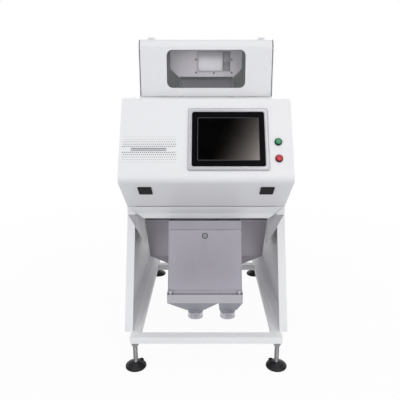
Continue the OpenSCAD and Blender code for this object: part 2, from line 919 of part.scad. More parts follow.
rear_box_y = [-45, 75];
rear_box_z = [690, 790];
module rear_camera() {
  color(dark) {
    span([-chamber_x, rear_box_y[0], rear_box_z[0]], [chamber_x, rear_box_y[1], rear_box_z[1]]);
    for (x = [-1, 1]) translate([x * lens_x, 0, (rear_box_z[0] + rear_box_z[1]) / 2])
      bar_y(rear_box_y[0] - lens_l, rear_box_y[0] + cut, lens_r);
  }
}

led_w = 20;
led_front_z = 735;
led_rear = [-92, 694];
module led_bars() {
  front = box_back(led_front_z) + box_room;
  color([0.95, 0.95, 0.85]) {
    span([-chamber_x, front, led_front_z], [chamber_x, front + led_w, led_front_z + led_w]);
    span([-chamber_x, led_rear.x, led_rear.y], [chamber_x, led_rear.x + led_w, led_rear.y + led_w]);
  }
}

// Plates that the cameras see behind the product
backing_h = 28;
backing_at = [[-190, 706], [-100, 705]];
module background_plates() {
  color("white") for (p = backing_at)
    span([-chamber_x, p.x, p.y], [chamber_x, p.x + thin_sheet, p.y + backing_h]);
}

// Air manifold with its valves and its row of nozzles
air_z = 678;
air_r = 6;
jet_face = -180;
jet_d = 56;
jet_z = [668, 702];
valve_count = 16;
valve = [12, 20, 24];
valve_inset = 14;
nozzle_r = 1.5;
nozzle_d = 10;
nozzle_z = [12, 24];
module ejector() {
  pitch = chute_w / valve_count;
  valve_y = jet_face - jet_d + valve_inset;
  color(steel) {
    span([-chamber_x, jet_face - jet_d, jet_z[0]], [chamber_x, jet_face, jet_z[1]]);
    for (k = [0 : valve_count - 1])
      translate([(k - (valve_count - 1) / 2) * pitch - valve.x / 2, valve_y, jet_z[1]]) cube(valve);
    difference() {
      span(
        [-chute_w / 2, jet_face, jet_z[0] + nozzle_z[0]],
        [chute_w / 2, jet_face + nozzle_d, jet_z[0] + nozzle_z[1]]);
      for (k = [0 : valve_count - 1])
        translate([(k - (valve_count - 1) / 2) * pitch, 0, jet_z[0] + (nozzle_z[0] + nozzle_z[1]) / 2])
          bar_y(jet_face + cut, jet_face + nozzle_d + cut, nozzle_r);
    }
  }
}

module air_pipe() {
  color(steel) translate([regulator_x, 0, air_z]) bar_y(jet_face, panel_back, air_r - fit);
}

// Power supply and control board on the shelf
supply = [160, 120, 95];
supply_room = [24, 17.5];
board = [240, 3, 190];
board_room = [20, 164.5];
module electronics() {
  supply_x = chamber_x - supply_room.x - supply.x;
  color(dark) {
    translate([supply_x, rear_y - supply_room.y - supply.y, shelf_top]) cube(supply);
    translate([supply_x - board_room.x - board.x, rear_y - board_room.y - board.y, shelf_top]) cube(board);
  }
}

// Exhaust fan inside the rear cover
fan_d = 38;
fan_hub = 20;
fan_shaft = 3;
fan_arm = 6;
blade_count = 7;
blade = [33, 28, 2];
blade_pitch = 40;
rotor_gap = 6;
module fan_frame() {
  front = rear_y - fan_d;
  color(black) translate([fan_at.x, 0, fan_at.y]) {
    difference() {
      span([-fan_size / 2, front, -fan_size / 2], [fan_size / 2, rear_y, fan_size / 2]);
      bar_y(front - cut, rear_y + cut, fan_r);
    }
    difference() {
      union() {
        bar_y(front, front + fan_arm, fan_hub);
        for (turn = [0, 90]) rotate([0, turn, 0])
          span([-fan_r - 1, front, -fan_arm / 2], [fan_r + 1, front + fan_arm, fan_arm / 2]);
      }
      bar_y(front - cut, front + fan_arm + cut, fan_shaft + fit);
    }
  }
}

module fan_rotor() {
  front = rear_y - fan_d;
  hub_y = front + fan_arm + run_gap;
  back = rear_y - rotor_gap;
  color(dark) translate([fan_at.x, 0, fan_at.y]) {
    bar_y(front, back, fan_shaft);
    bar_y(hub_y, back, fan_hub);
    for (k = [0 : blade_count - 1])
      rotate([0, k * 360 / blade_count, 0]) translate([fan_hub - cut, (hub_y + back) / 2, 0])
        rotate([blade_pitch, 0, 0]) translate([0, -blade.y / 2, -blade.z / 2]) cube(blade);
  }
}

// Control box: a folded shell open at its back, with its cut-outs and hinge knuckles
box_points = [box_a, box_b, box_c, box_d];
screen_cut = 12;
stem_hole = 11.15;
module control_box() {
  inner = inset(box_points, [sheet, sheet, sheet, -cut]);
  notch = hinge_len * knuckle_part + knuckle_gap;
  color(white) {
    difference() {
      along_x(-side_x, side_x) polygon(rounded(box_points, [0, box_top_r, nose_r, 0]));
      along_x(-side_x + sheet, side_x - sheet)
        polygon(rounded(inner, [0, box_top_r - sheet, nose_r - sheet, 0]));
      on_panel(screen_x, screen_s)
        slab(bezel_w - 2 * screen_cut, bezel_h - 2 * screen_cut, trim_r, -sheet - cut, cut);
      for (s = [start_s, stop_s]) on_panel(button_x, s)
        translate([0, 0, -sheet - cut]) cylinder(h = sheet + 2 * cut, r = stem_hole);
      on_panel(-vent_x, vent_s) slab(vent_w, vent_h, vent_h / 2 - 1, -sheet - cut, cut);
      for (x = [-1, 1]) on_lower(x * latch_x, latch_s)
        slab(latch_w - 2 * latch_rim, latch_l - 2 * latch_rim, 2, -sheet - cut, cut);
      for (x = [-1, 1]) translate([x * box_hinge_x, box_axis.x, box_axis.y])
        bar_x(-notch, notch, hinge_r + run_gap);
    }
    for (x = [-1, 1]) translate([x * box_hinge_x, box_axis.x, box_axis.y])
      hinge_moving([-hinge_r - hinge_foot, box_top_z - sheet - box_axis.y], [0, box_top_z - box_axis.y]);
  }
}

module screen_trim() {
  color([0.75, 0.76, 0.77]) on_panel(screen_x, screen_s) difference() {
    slab(trim_w, trim_h, trim_r, 0, trim_t);
    slab(bezel_w, bezel_h, trim_r / 2, -cut, trim_t + cut);
  }
}

bezel_t = 4;
glass_t = 2;
module screen_bezel() {
  color(black) on_panel(screen_x, screen_s) difference() {
    slab(bezel_w - fit, bezel_h - fit, trim_r / 2, 0, bezel_t);
    slab(display_w, display_h, 1, -cut, bezel_t + cut);
  }
}

module display() {
  color([0.12, 0.12, 0.12]) on_panel(screen_x, screen_s)
    slab(display_w - fit, display_h - fit, 1, bezel_t - 1 - glass_t, bezel_t - 1);
}

computer_edge = 6;
module panel_computer() {
  w = bezel_w - 2 * screen_cut;
  h = bezel_h - 2 * screen_cut;
  color(dark) on_panel(screen_x, screen_s) {
    slab(w - 2, h - 2, trim_r, -sheet - 2 * fit, 0);
    slab(w + 2 * computer_edge, h + 2 * computer_edge, trim_r, -computer_d, -sheet - fit);
  }
}

// Vent insert with two long slits and a bar between them
vent_bar = 4;
slit = 3;
slit_end = 4;
module vent_insert() {
  color([0.85, 0.86, 0.87]) on_panel(-vent_x, vent_s) difference() {
    slab(vent_w - 2 * fit, vent_h - 2 * fit, vent_h / 2 - 1 - fit, -sheet, 1);
    for (side = [-1, 1]) translate([0, side * (vent_bar + slit) / 2, 0])
      slab(vent_w - 2 * slit_end, slit, slit / 2 - 0.1, -sheet - cut, 1 + cut);
  }
}

// Buttons: rings and switch blocks on the panel, heads that press in
block = 30;
block_d = 32;
stem_r = 8;
stem_l = 20;
head_low = button_travel + 0.5;
module button_rings() {
  color(black) for (s = [start_s, stop_s]) on_panel(button_x, s) {
    difference() {
      cylinder(h = ring_h, r = ring_d / 2);
      translate([0, 0, -cut]) cylinder(h = ring_h + 2 * cut, r = head_d / 2 + fit);
    }
    difference() {
      translate([-block / 2, -block / 2, -sheet - block_d]) cube([block, block, block_d]);
      translate([0, 0, -sheet - block_d + 2]) cylinder(h = block_d, r = stem_r + fit);
    }
  }
}

module button_head(s, shade) {
  color(shade) on_panel(button_x, s) {
    translate([0, 0, head_low]) cylinder(h = head_h - head_low, r = head_d / 2);
    translate([0, 0, -stem_l]) cylinder(h = stem_l + head_low, r = stem_r);
  }
}

module start_button() { button_head(start_s, [0.05, 0.5, 0.25]); }
module stop_button() { button_head(stop_s, [0.75, 0.1, 0.1]); }

// Paddle latches in the lower face: a housing rim, and a paddle on a pin near its upper end
paddle_gap = 0.6;
paddle_t = 3.5;
latch_pin = 1.5;
latch_h = 4;
pin_inset = 4;
module latch_housings() {
  w = latch_w - 2 * latch_rim;
  l = latch_l - 2 * latch_rim;
  color(black) for (x = [-1, 1]) on_lower(x * latch_x, latch_s) difference() {
    slab(latch_w, latch_l, 4, fit, latch_h);
    slab(w, l, 2, -cut, latch_h + cut);
    translate([0, l / 2 - pin_inset, latch_h / 2])
      bar_x(-w / 2 - latch_rim / 2, w / 2 + latch_rim / 2, latch_pin + fit);
  }
}

module latch_paddle(x) {
  w = latch_w - 2 * latch_rim;
  l = latch_l - 2 * latch_rim;
  color([0.09, 0.09, 0.09]) on_lower(x * latch_x, latch_s) {
    slab(w - 2 * paddle_gap, l - 2 * paddle_gap, 2, latch_h - paddle_t, latch_h);
    translate([0, l / 2 - pin_inset, latch_h / 2])
      bar_x(-w / 2 - latch_rim / 2 + fit, w / 2 + latch_rim / 2 - fit, latch_pin);
  }
}

module latch_left() { latch_paddle(-1); }
module latch_right() { latch_paddle(1); }

// Rear collecting funnel, with the hanger bar that carries the bin
hanger_top = funnel_front.y - 9;
hanger_low = hanger_top - 20;
function funnel_face(z) =
  funnel_front.x + (funnel_front.y - z) * (funnel_throat[0] - funnel_front.x) / (funnel_front.y - funnel_mid);
function bin_back(z) = bin_d.x + (z - bin_d.y) * (bin_d.x - bin_c.x) / (bin_d.y - bin_c.y);
module collecting_funnel() {
  yz = [
    funnel_front, [funnel_throat[0], funnel_mid], [funnel_throat[0], funnel_low],
    [funnel_throat[1], funnel_low], [funnel_throat[1], funnel_mid], [shelf_front, shelf_z]
  ];
  xz = [
    [-funnel_x, shelf_z], [-funnel_x, funnel_mid], [-funnel_out_x, funnel_low],
    [funnel_out_x, funnel_low], [funnel_x, funnel_mid], [funnel_x, shelf_z]
  ];
  t = thin_sheet;
  color(dark) {
    difference() {
      crossed(yz, xz);
      crossed(inset(yz, [t, t, -cut, t, t, -cut]), inset(xz, [t, t, -cut, t, t, -cut]));
    }
    along_x(-bin_left - bin_w / 2, -bin_left + bin_w / 2) polygon([
      [bin_back(hanger_top) + fit, hanger_top],
      [bin_back(hanger_low) + fit, hanger_low], [funnel_face(hanger_low) + t / 2, hanger_low],
      [funnel_face(hanger_top) + t / 2, hanger_top]
    ]);
  }
}

// Bin: a leaning box open at its top and bottom, with a doorway in front and a divider
bin_points = [bin_a, bin_b, bin_c, bin_d];
door_room = door_t + run_gap;
divider_drop = 8;
module bin_body() {
  t = thin_sheet;
  x = bin_w / 2;
  outer = inset(bin_points, [door_room, 0, 0, 0]);
  color(steel) translate([-bin_left, 0, 0]) {
    difference() {
      along_x(-x, x) polygon(outer);
      along_x(-x + t, x - t) polygon(inset(outer, [t, -cut, t, -cut]));
      on_bin(0, 0) span(
        [-x + frame_edge, -door_low_s + frame_edge, -door_room - t - cut],
        [x - frame_edge, -door_top_s - frame_edge, cut]);
    }
    on_bin(0, 0) span([-x, -bin_band, -door_room - t / 2], [x, 0, 0]);
    along_x(divider_x - t / 2, divider_x + t / 2)
      polygon(inset(outer, [t, 0, t / 2, divider_drop]));
  }
}

// Bin door, hinged along its lower edge
bin_axis_s = door_low_s + hinge_r;
bin_axis_h = hinge_r + door_gap;
bin_hinge_x = (bin_w - bin_hinge_len) / 2 - 2 * door_gap;
lock_barrel = 9;
module bin_door() {
  x = bin_w / 2 - door_gap;
  color(steel) translate([-bin_left, 0, 0]) {
    difference() {
      on_bin(0, 0) span([-x, -door_low_s, -door_t], [x, -door_top_s, 0]);
      on_bin(0, door_top_s + lock_s) translate([0, 0, -door_t - cut])
        cylinder(h = door_t + 2 * cut, r = lock_barrel + fit);
    }
    for (side = [-1, 1]) on_bin(side * bin_hinge_x, bin_axis_s) translate([0, 0, bin_axis_h])
      hinge_moving([0, -bin_axis_h - door_t / 2], [hinge_r + hinge_foot, 0], bin_hinge_len);
  }
}

// Quarter-turn lock in the door, with its cam behind the doorway's edge
lock_h = 4;
cam_t = 3;
cam_w = 14;
cam_edge = 4;
key_slot = [2, 12, 1.5];
module bin_lock() {
  back = -door_room - thin_sheet - run_gap;
  color([0.8, 0.8, 0.82]) on_bin(-bin_left, door_top_s + lock_s) {
    difference() {
      cylinder(h = lock_h, r = lock_d / 2);
      translate([-key_slot.x / 2, -key_slot.y / 2, lock_h - key_slot.z])
        cube([key_slot.x, key_slot.y, key_slot.z + cut]);
    }
    translate([0, 0, back]) cylinder(h = -back + cut, r = lock_barrel);
    translate([-cam_w / 2, -lock_barrel, back - cam_t]) cube([cam_w, lock_barrel + lock_s - cam_edge, cam_t]);
  }
}

// Flange under the bin: a cap with the bin's outlet in its top, and the fixed halves of the hinges
flange_out = 9;
flange_front = bin_b.x - flange_out;
flange_back = bin_c.x + flange_lip;
flange_low = bin_low_z - flange_h;
flange_x = bin_w / 2 + flange_lip;
module bin_flange() {
  t = thin_sheet;
  color(steel) translate([-bin_left, 0, 0]) {
    difference() {
      span([-flange_x, flange_front, flange_low], [flange_x, flange_back, bin_low_z]);
      span(
        [-flange_x + t, flange_front + t, flange_low - cut],
        [flange_x - t, flange_back - t, bin_low_z - t]);
      span(
        [-bin_w / 2 + t, bin_b.x + door_room + 2 * t, bin_low_z - t - cut],
        [bin_w / 2 - t, bin_c.x - t, bin_low_z + cut]);
    }
    for (side = [-1, 1]) on_bin(side * bin_hinge_x, bin_axis_s) translate([0, 0, bin_axis_h])
      hinge_fixed([-hinge_r - hinge_foot, -hinge_r], [0, hinge_pin_r], bin_hinge_len);
  }
}

// Two four-sided funnels side by side, each with a round neck down to its outlet
outlet_top = outlet_z + outlet_l;
neck_l = 21;
neck_wide = 4;
spout_edge = 5;
funnel_end = outlet_top + neck_l;
module bin_funnel(x0, x1, at) {
  t = thin_sheet;
  r = outlet_d / 2;
  half = r + spout_edge;
  yz = [
    [flange_front, flange_low], [-outlet_y - half, funnel_end], [-outlet_y + half, funnel_end],
    [flange_back, flange_low]
  ];
  xz = [[x0, flange_low], [at - half, funnel_end], [at + half, funnel_end], [x1, flange_low]];
  difference() {
    union() {
      crossed(yz, xz);
      translate([at, -outlet_y, outlet_top]) cylinder(h = neck_l, r1 = r, r2 = r + neck_wide);
    }
    crossed(inset(yz, [t, t, t, -cut]), inset(xz, [t, t, t, -cut]));
    translate([at, -outlet_y, outlet_top]) cylinder(h = neck_l, r1 = r - t, r2 = r - t + neck_wide);
    translate([at, -outlet_y, outlet_top - cut]) cylinder(h = neck_l + t + 2 * cut, r = r - t);
  }
}

module bin_funnels() {
  color(steel) translate([-bin_left, 0, 0]) {
    bin_funnel(-flange_x, divider_x, -outlet_left_x);
    bin_funnel(divider_x, flange_x, outlet_right_x);
  }
}

module outlets() {
  color(steel) for (x = [-outlet_left_x, outlet_right_x]) translate([x - bin_left, -outlet_y, outlet_z])
    difference() {
      cylinder(h = outlet_l, r = outlet_d / 2);
      translate([0, 0, -cut]) cylinder(h = outlet_l + 2 * cut, r = outlet_d / 2 - thin_sheet);
    }
}

// Air regulator on the rear cover: body, water bowl, inlet port and knob
regulator_h = 60;
bowl_r = 20;
bowl_h = 50;
port_l = 16;
knob_r = 18;
knob_h = 26;
knob_shaft = 6;
shaft_l = 10;
shaft_room = 2;
module regulator() {
  mid_y = panel_back + regulator_w / 2;
  color([0.3, 0.3, 0.32]) translate([regulator_x, 0, air_z - regulator_h / 2]) difference() {
    union() {
      span([-regulator_w / 2, panel_back, 0], [regulator_w / 2, panel_back + regulator_w, regulator_h]);
      translate([0, mid_y, -bowl_h]) cylinder(h = bowl_h + cut, r = bowl_r);
    }
    translate([0, mid_y, regulator_h / 2])
      bar_x(-regulator_w / 2 - cut, -regulator_w / 2 + port_l, port_r);
    translate([0, mid_y, regulator_h - shaft_l - shaft_room])
      cylinder(h = shaft_l + shaft_room + cut, r = knob_shaft + fit);
  }
}

module regulator_knob() {
  color(black) translate([regulator_x, panel_back + regulator_w / 2, air_z + regulator_h / 2]) {
    translate([0, 0, run_gap]) cylinder(h = knob_h, r = knob_r);
    translate([0, 0, -shaft_l]) cylinder(h = shaft_l + cut, r = knob_shaft);
  }
}

// Gland that a supply cable passes through
gland_bore = 6;
gland_out = 26;
gland_in = 8;
gland_nut = 14;
gland_nut_l = 12;
module cable_gland() {
  color(black) translate([gland_at.x, 0, gland_at.y]) difference() {
    union() {
      bar_y(rear_y - gland_in, panel_back + gland_out, gland_r);
      translate([0, panel_back + gland_nut_l, 0]) rotate([90, 0, 0])
        cylinder(h = gland_nut_l, r = gland_nut / cos(30), $fn = 6);
    }
    bar_y(rear_y - gland_in - cut, panel_back + gland_out + cut, gland_bore);
  }
}

side_rails();
front_bar();
mid_bar();
rear_bar();
lock_nuts();
foot_front_left();
foot_front_right();
foot_rear_left();
foot_rear_right();
side_panel_left();
side_panel_right();
chamber_sides();
sill();
lip();
shelf();
rear_cover();
top_deck();
feeder_housing();
inlet_collar();
feed_hopper();
feed_gate();
feeder_tray();
feeder_drive();
feeder_plate();
feeder_screws();
window_cover();
window_pane();
chute();
chute_beams();
front_camera();
rear_camera();
led_bars();
background_plates();
ejector();
air_pipe();
electronics();
fan_frame();
fan_rotor();
control_box();
screen_trim();
screen_bezel();
display();
panel_computer();
vent_insert();
button_rings();
start_button();
stop_button();
latch_housings();
latch_left();
latch_right();
collecting_funnel();
bin_body();
bin_door();
bin_lock();
bin_flange();
bin_funnels();
outlets();
regulator();
regulator_knob();
cable_gland();
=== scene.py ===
"""Dresses the optical colour sorter: finishes, small parts, studio and camera.

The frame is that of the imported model: +X to the operator's right, +Y to the back, +Z up, with the
origin on the floor below the middle. The studio is in metres. The machine's pieces are in millimetres
until their points are made.
"""
import json
import math

import bmesh
import bpy
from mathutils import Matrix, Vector


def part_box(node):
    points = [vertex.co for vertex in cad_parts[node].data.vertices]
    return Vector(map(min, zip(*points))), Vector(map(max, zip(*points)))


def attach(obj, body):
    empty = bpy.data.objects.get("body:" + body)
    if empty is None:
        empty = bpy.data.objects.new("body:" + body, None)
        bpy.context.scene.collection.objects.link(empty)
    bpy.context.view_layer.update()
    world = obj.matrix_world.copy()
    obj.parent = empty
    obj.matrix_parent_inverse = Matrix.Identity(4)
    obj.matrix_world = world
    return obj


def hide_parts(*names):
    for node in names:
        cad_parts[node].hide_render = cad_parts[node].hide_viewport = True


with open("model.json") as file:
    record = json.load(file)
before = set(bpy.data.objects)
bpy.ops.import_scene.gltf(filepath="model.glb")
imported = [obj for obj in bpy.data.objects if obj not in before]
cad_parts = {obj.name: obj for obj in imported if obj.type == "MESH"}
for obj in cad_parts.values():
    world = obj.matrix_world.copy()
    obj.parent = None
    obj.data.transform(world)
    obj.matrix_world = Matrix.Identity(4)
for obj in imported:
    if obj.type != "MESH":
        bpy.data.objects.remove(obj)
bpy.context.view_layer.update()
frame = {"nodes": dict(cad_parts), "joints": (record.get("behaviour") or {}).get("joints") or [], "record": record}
NODE = frame["nodes"]
JOINT = {joint["name"]: joint for joint in frame["joints"]}

MM = 0.001
TURN = 2 * math.pi


def joint_place(name):
    """Place of a hinge in millimetres."""
    return [value / MM for value in JOINT[name]["pos_m"]]


def node_box(name):
    """Lowest and highest corner of a CAD node in millimetres."""
    low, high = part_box(name)
    return low / MM, high / MM


def node_middle(name):
    """Middle of a CAD node's box in millimetres."""
    low, high = node_box(name)
    return (low + high) / 2


# Camera: a pinhole that gives the photograph's frame

IMAGE_SIDE = 400
FOCAL_PX = 450.0
PRINCIPAL_X = 206.1
SENSOR_MM = 36.0
CAMERA_PLACE = (0.0, -2.180, 1.1985)
CAMERA_PITCH = math.radians(14.93)
CAMERA_REACH = 200


def make_camera():
    data = bpy.data.cameras.new("camera")
    data.sensor_width = SENSOR_MM
    data.lens = SENSOR_MM * FOCAL_PX / IMAGE_SIDE
    data.shift_x = (IMAGE_SIDE / 2 - PRINCIPAL_X) / IMAGE_SIDE
    data.clip_end = CAMERA_REACH
    camera = bpy.data.objects.new("camera", data)
    camera.location = CAMERA_PLACE
    camera.rotation_euler = (math.pi / 2 - CAMERA_PITCH, 0, 0)
    bpy.context.scene.collection.objects.link(camera)
    bpy.context.scene.camera = camera


# Shader nodes that the studio and the materials share

PLAIN_WHITE = (1, 1, 1, 1)


def bare_material(name):
    """Material without a shader, with its nodes, its links and the socket of its surface."""
    mat = bpy.data.materials.new(name)
    mat.use_nodes = True
    nodes, links = mat.node_tree.nodes, mat.node_tree.links
    nodes.clear()
    out = nodes.new("ShaderNodeOutputMaterial")
    return mat, nodes, links, out.inputs["Surface"]


def math_node(nodes, links, operation, value, other, clamp=False):
    """Works on a socket and a second socket or number."""
    node = nodes.new("ShaderNodeMath")
    node.operation = operation
    node.use_clamp = clamp
    links.new(value, node.inputs[0])
    if isinstance(other, float):
        node.inputs[1].default_value = other
    else:
        links.new(other, node.inputs[1])
    return node.outputs[0]


def map_range(nodes, links, value, source, target, curve="LINEAR"):
    """Maps one range of values to another."""
    ramp = nodes.new("ShaderNodeMapRange")
    ramp.interpolation_type = curve
    ramp.inputs["From Min"].default_value, ramp.inputs["From Max"].default_value = source
    ramp.inputs["To Min"].default_value, ramp.inputs["To Max"].default_value = target
    links.new(value, ramp.inputs["Value"])
    return ramp.outputs[0]


def distance_from_origin(nodes, links, place):
    length = nodes.new("ShaderNodeVectorMath")
    length.operation = "LENGTH"
    links.new(place, length.inputs[0])
    return length.outputs["Value"]


def mix_shaders(nodes, links, share, first, second):
    mix = nodes.new("ShaderNodeMixShader")
    links.new(share, mix.inputs[0])
    links.new(first.outputs[0], mix.inputs[1])
    links.new(second.outputs[0], mix.inputs[2])
    return mix.outputs[0]


def background_rays(nodes, links):
    """1 for rays that should see the plain white background, else 0."""
    path = nodes.new("ShaderNodeLightPath")
    total = path.outputs["Is Camera Ray"]
    for name in ("Is Glossy Ray", "Is Transmission Ray"):
        total = math_node(nodes, links, "ADD", total, path.outputs[name], clamp=True)
    return total


# Lamps: place, target, size and power of each

LAMPS = {
    "key": ((-2.4, -4.8, 5.4), (0, -0.2, 0.7), (4.5, 4.5), 40),
    "fill": ((2.2, -2.6, 2.4), (0, -0.2, 0.7), (2.5, 2.5), 14),
    "front": ((0, -4.6, 0.9), (0, 0, 0.45), (5.0, 1.6), 20),
    "top": ((0, -3.0, 7.5), (0, -0.4, 0.2), (5.0, 4.0), 104),
    "back": ((0.8, 4.6, 2.6), (0, 0, 0.3), (4.0, 2.0), 52),
}


def make_lamps():
    for name, (place, target, size, power) in LAMPS.items():
        data = bpy.data.lights.new(name, "AREA")
        data.shape = "RECTANGLE"
        data.size, data.size_y = size
        data.energy = power
        light = bpy.data.objects.new(name, data)
        light.location = place
        light.rotation_euler = (Vector(target) - Vector(place)).to_track_quat("-Z", "Y").to_euler()
        bpy.context.scene.collection.objects.link(light)


# World and floor: plain white for the background's rays, a pale studio for the light

WORLD_TINT = (0.97, 0.98, 1.0, 1)
WORLD_LIGHT = 0.57
FLOOR_SIDE = 60.0
FLOOR_COLOUR = (0.80, 0.80, 0.81, 1)
FLOOR_FADE = (0.8, 3.0)
FLOOR_WHITE_SHARE = (0.95, 1.0)


def make_world():
    world = bpy.data.worlds.new("studio")
    bpy.context.scene.world = world
    world.use_nodes = True
    nodes, links = world.node_tree.nodes, world.node_tree.links
    nodes.clear()
    dim = nodes.new("ShaderNodeBackground")
    dim.inputs["Color"].default_value = WORLD_TINT
    dim.inputs["Strength"].default_value = WORLD_LIGHT
    plain = nodes.new("ShaderNodeBackground")
    plain.inputs["Color"].default_value = PLAIN_WHITE
    plain.inputs["Strength"].default_value = 1.0
    out = nodes.new("ShaderNodeOutputWorld")
    links.new(mix_shaders(nodes, links, background_rays(nodes, links), dim, plain), out.inputs["Surface"])


def flat_sheet(name, width, height):
    """Rectangle about its own middle."""
    x, y = width / 2, height / 2
    mesh = bpy.data.meshes.new(name)
    mesh.from_pydata([(-x, -y, 0), (x, -y, 0), (x, y, 0), (-x, y, 0)], [], [(0, 1, 2, 3)])
    sheet = bpy.data.objects.new(name, mesh)
    bpy.context.scene.collection.objects.link(sheet)
    return sheet


def make_floor():
    """Pale floor that keeps a little of the object's shadow near it and runs out to plain white."""
    floor = flat_sheet("floor", FLOOR_SIDE, FLOOR_SIDE)
    mat, nodes, links, surface = bare_material("floor_white")
    matte = nodes.new("ShaderNodeBsdfDiffuse")
    matte.inputs["Color"].default_value = FLOOR_COLOUR
    glow = nodes.new("ShaderNodeEmission")
    glow.inputs["Color"].default_value = PLAIN_WHITE
    coord = nodes.new("ShaderNodeTexCoord")
    reach = distance_from_origin(nodes, links, coord.outputs["Object"])
    white = map_range(nodes, links, reach, FLOOR_FADE, FLOOR_WHITE_SHARE)
    share = math_node(nodes, links, "MULTIPLY", background_rays(nodes, links), white)
    links.new(mix_shaders(nodes, links, share, matte, glow), surface)
    floor.data.materials.append(mat)


# Cards: glowing sheets that only reflections show

SLOPE_RISE = (-1.18, -0.725, 0)
SLOPE_START = 0.168
SLOPE_POWER = 3.0
SLOPE_GAIN = 20.0
SLOPE_TINT = (1.0, 0.89, 0.83, 1)
HOLLOW_REACH = 0.55
HOLLOW_STRENGTH = (0.25, 1.35)
FLAG_STRENGTH = 0.12
FLAG_X = 1.9


def slope_emission(nodes, links, place, glow):
    """Dark card that brightens towards one corner, warm grey."""
    dot = nodes.new("ShaderNodeVectorMath")
    dot.operation = "DOT_PRODUCT"
    dot.inputs[1].default_value = SLOPE_RISE
    links.new(place, dot.inputs[0])
    rise = math_node(nodes, links, "ADD", dot.outputs["Value"], SLOPE_START, clamp=True)
    curve = math_node(nodes, links, "POWER", rise, SLOPE_POWER)
    links.new(math_node(nodes, links, "MULTIPLY", curve, SLOPE_GAIN), glow.inputs["Strength"])
    glow.inputs["Color"].default_value = SLOPE_TINT


def hollow_emission(nodes, links, place, glow):
    """Card that is dimmer in its middle."""
    reach = distance_from_origin(nodes, links, place)
    strength = map_range(nodes, links, reach, (0.0, HOLLOW_REACH), HOLLOW_STRENGTH, curve="SMOOTHSTEP")
    links.new(strength, glow.inputs["Strength"])


def flat_emission(nodes, links, place, glow):
    """Dark flag."""
    glow.inputs["Strength"].default_value = FLAG_STRENGTH


def make_card(name, place, facing, size, emission):
    """One card; emission sets its glow from the place on it in metres."""
    card = flat_sheet(name, *size)
    card.location = place
    card.rotation_euler = (Vector(facing) - Vector(place)).to_track_quat("Z", "Y").to_euler()
    card.visible_camera = card.visible_diffuse = card.visible_shadow = False
    card.visible_transmission = card.visible_volume_scatter = False
    mat, nodes, links, surface = bare_material(name)
    glow = nodes.new("ShaderNodeEmission")
    coord = nodes.new("ShaderNodeTexCoord")
    emission(nodes, links, coord.outputs["Object"], glow)
    links.new(glow.outputs[0], surface)
    card.data.materials.append(mat)


def make_cards():
    """A gleam for the display, a dark flag at each side and a soft card before the bin."""
    make_card("display_card", place=(0.2156, -1.802, 3.082), facing=(0.09, -0.3595, 0.968), size=(1.1, 0.9),
              emission=slope_emission)
    for x in (-FLAG_X, FLAG_X):
        make_card("flag", place=(x, -0.7, 0.4), facing=(0, -0.4, 0.3), size=(1.2, 1.4),
                  emission=flat_emission)
    make_card("bin_card", place=(0, -2.5, 1.3), facing=(0, -0.35, 0.45), size=(1.3, 1.2),
              emission=hollow_emission)


# Materials: noise scales are in cells per metre, and a grain stretches the noise where its factor is small

EVEN_GRAIN = (1, 1, 1)
LEVEL_GRAIN = (0.03, 1, 1)
UPRIGHT_GRAIN = (1, 0.03, 0.03)
TURNED_GRAIN = (1, 1, 0.2)
NOISE_MIDDLE = (0.3, 0.7)

COAT_CLOUD = 3.5
COAT_HAZE = 40.0
COAT_UNEVEN = 0.06
COAT_BUMP = 0.35

STEEL_LINES = 420.0
STEEL_CLOUD = 6.0
STEEL_CLOUD_SHARE = 0.35
STEEL_SMOOTHER = 0.08
STEEL_ROUGHER = 0.1
STEEL_BUMP = 0.25

GLASS_GRAIN = 900.0
GLASS_VARY = 0.15
GLASS_SMEAR = 14.0
GLASS_ROUGH = (0.04, 0.09)
GLASS_SPECULAR = 0.6

PANE_COLOUR = (0.90, 0.92, 0.94, 1)
PANE_SMEAR = 9.0
PANE_ROUGH = (0.02, 0.05)
PANE_ALPHA = 0.06


def start_material(name):
    """Material with its nodes, its links and its shader."""
    mat = bpy.data.materials.new(name)
    mat.use_nodes = True
    nodes, links = mat.node_tree.nodes, mat.node_tree.links
    return mat, nodes, links, nodes["Principled BSDF"]


def noise(nodes, links, scale, grain=EVEN_GRAIN, detail=3.0, rough=0.5):
    """Noise in metres along a grain."""
    coord = nodes.new("ShaderNodeTexCoord")
    mapping = nodes.new("ShaderNodeMapping")
    mapping.inputs["Scale"].default_value = grain
    texture = nodes.new("ShaderNodeTexNoise")
    texture.inputs["Scale"].default_value = scale
    texture.inputs["Detail"].default_value = detail
    texture.inputs["Roughness"].default_value = rough
    links.new(coord.outputs["Object"], mapping.inputs["Vector"])
    links.new(mapping.outputs["Vector"], texture.inputs["Vector"])
    return texture.outputs["Fac"]


def shade(colour, factor):
    """A colour made darker or lighter, with its alpha."""
    return (*(min(1.0, value * factor) for value in colour), 1)


def vary_colour(nodes, links, shader, factor, colour, vary):
    """Colours a shader from a little darker to a little lighter."""
    mix = nodes.new("ShaderNodeMix")
    mix.data_type = "RGBA"
    mix.inputs["A"].default_value = shade(colour, 1 - vary)
    mix.inputs["B"].default_value = shade(colour, 1 + vary)
    links.new(factor, mix.inputs["Factor"])
    links.new(mix.outputs["Result"], shader.inputs["Base Color"])


def vary_roughness(nodes, links, shader, value, span):
    """Spreads a noise over a span of roughness."""
    links.new(map_range(nodes, links, value, NOISE_MIDDLE, span), shader.inputs["Roughness"])


def add_bump(nodes, links, shader, height, strength, distance):
    bump = nodes.new("ShaderNodeBump")
    bump.inputs["Strength"].default_value = strength
    bump.inputs["Distance"].default_value = distance
    links.new(height, bump.inputs["Height"])
    links.new(bump.outputs["Normal"], shader.inputs["Normal"])


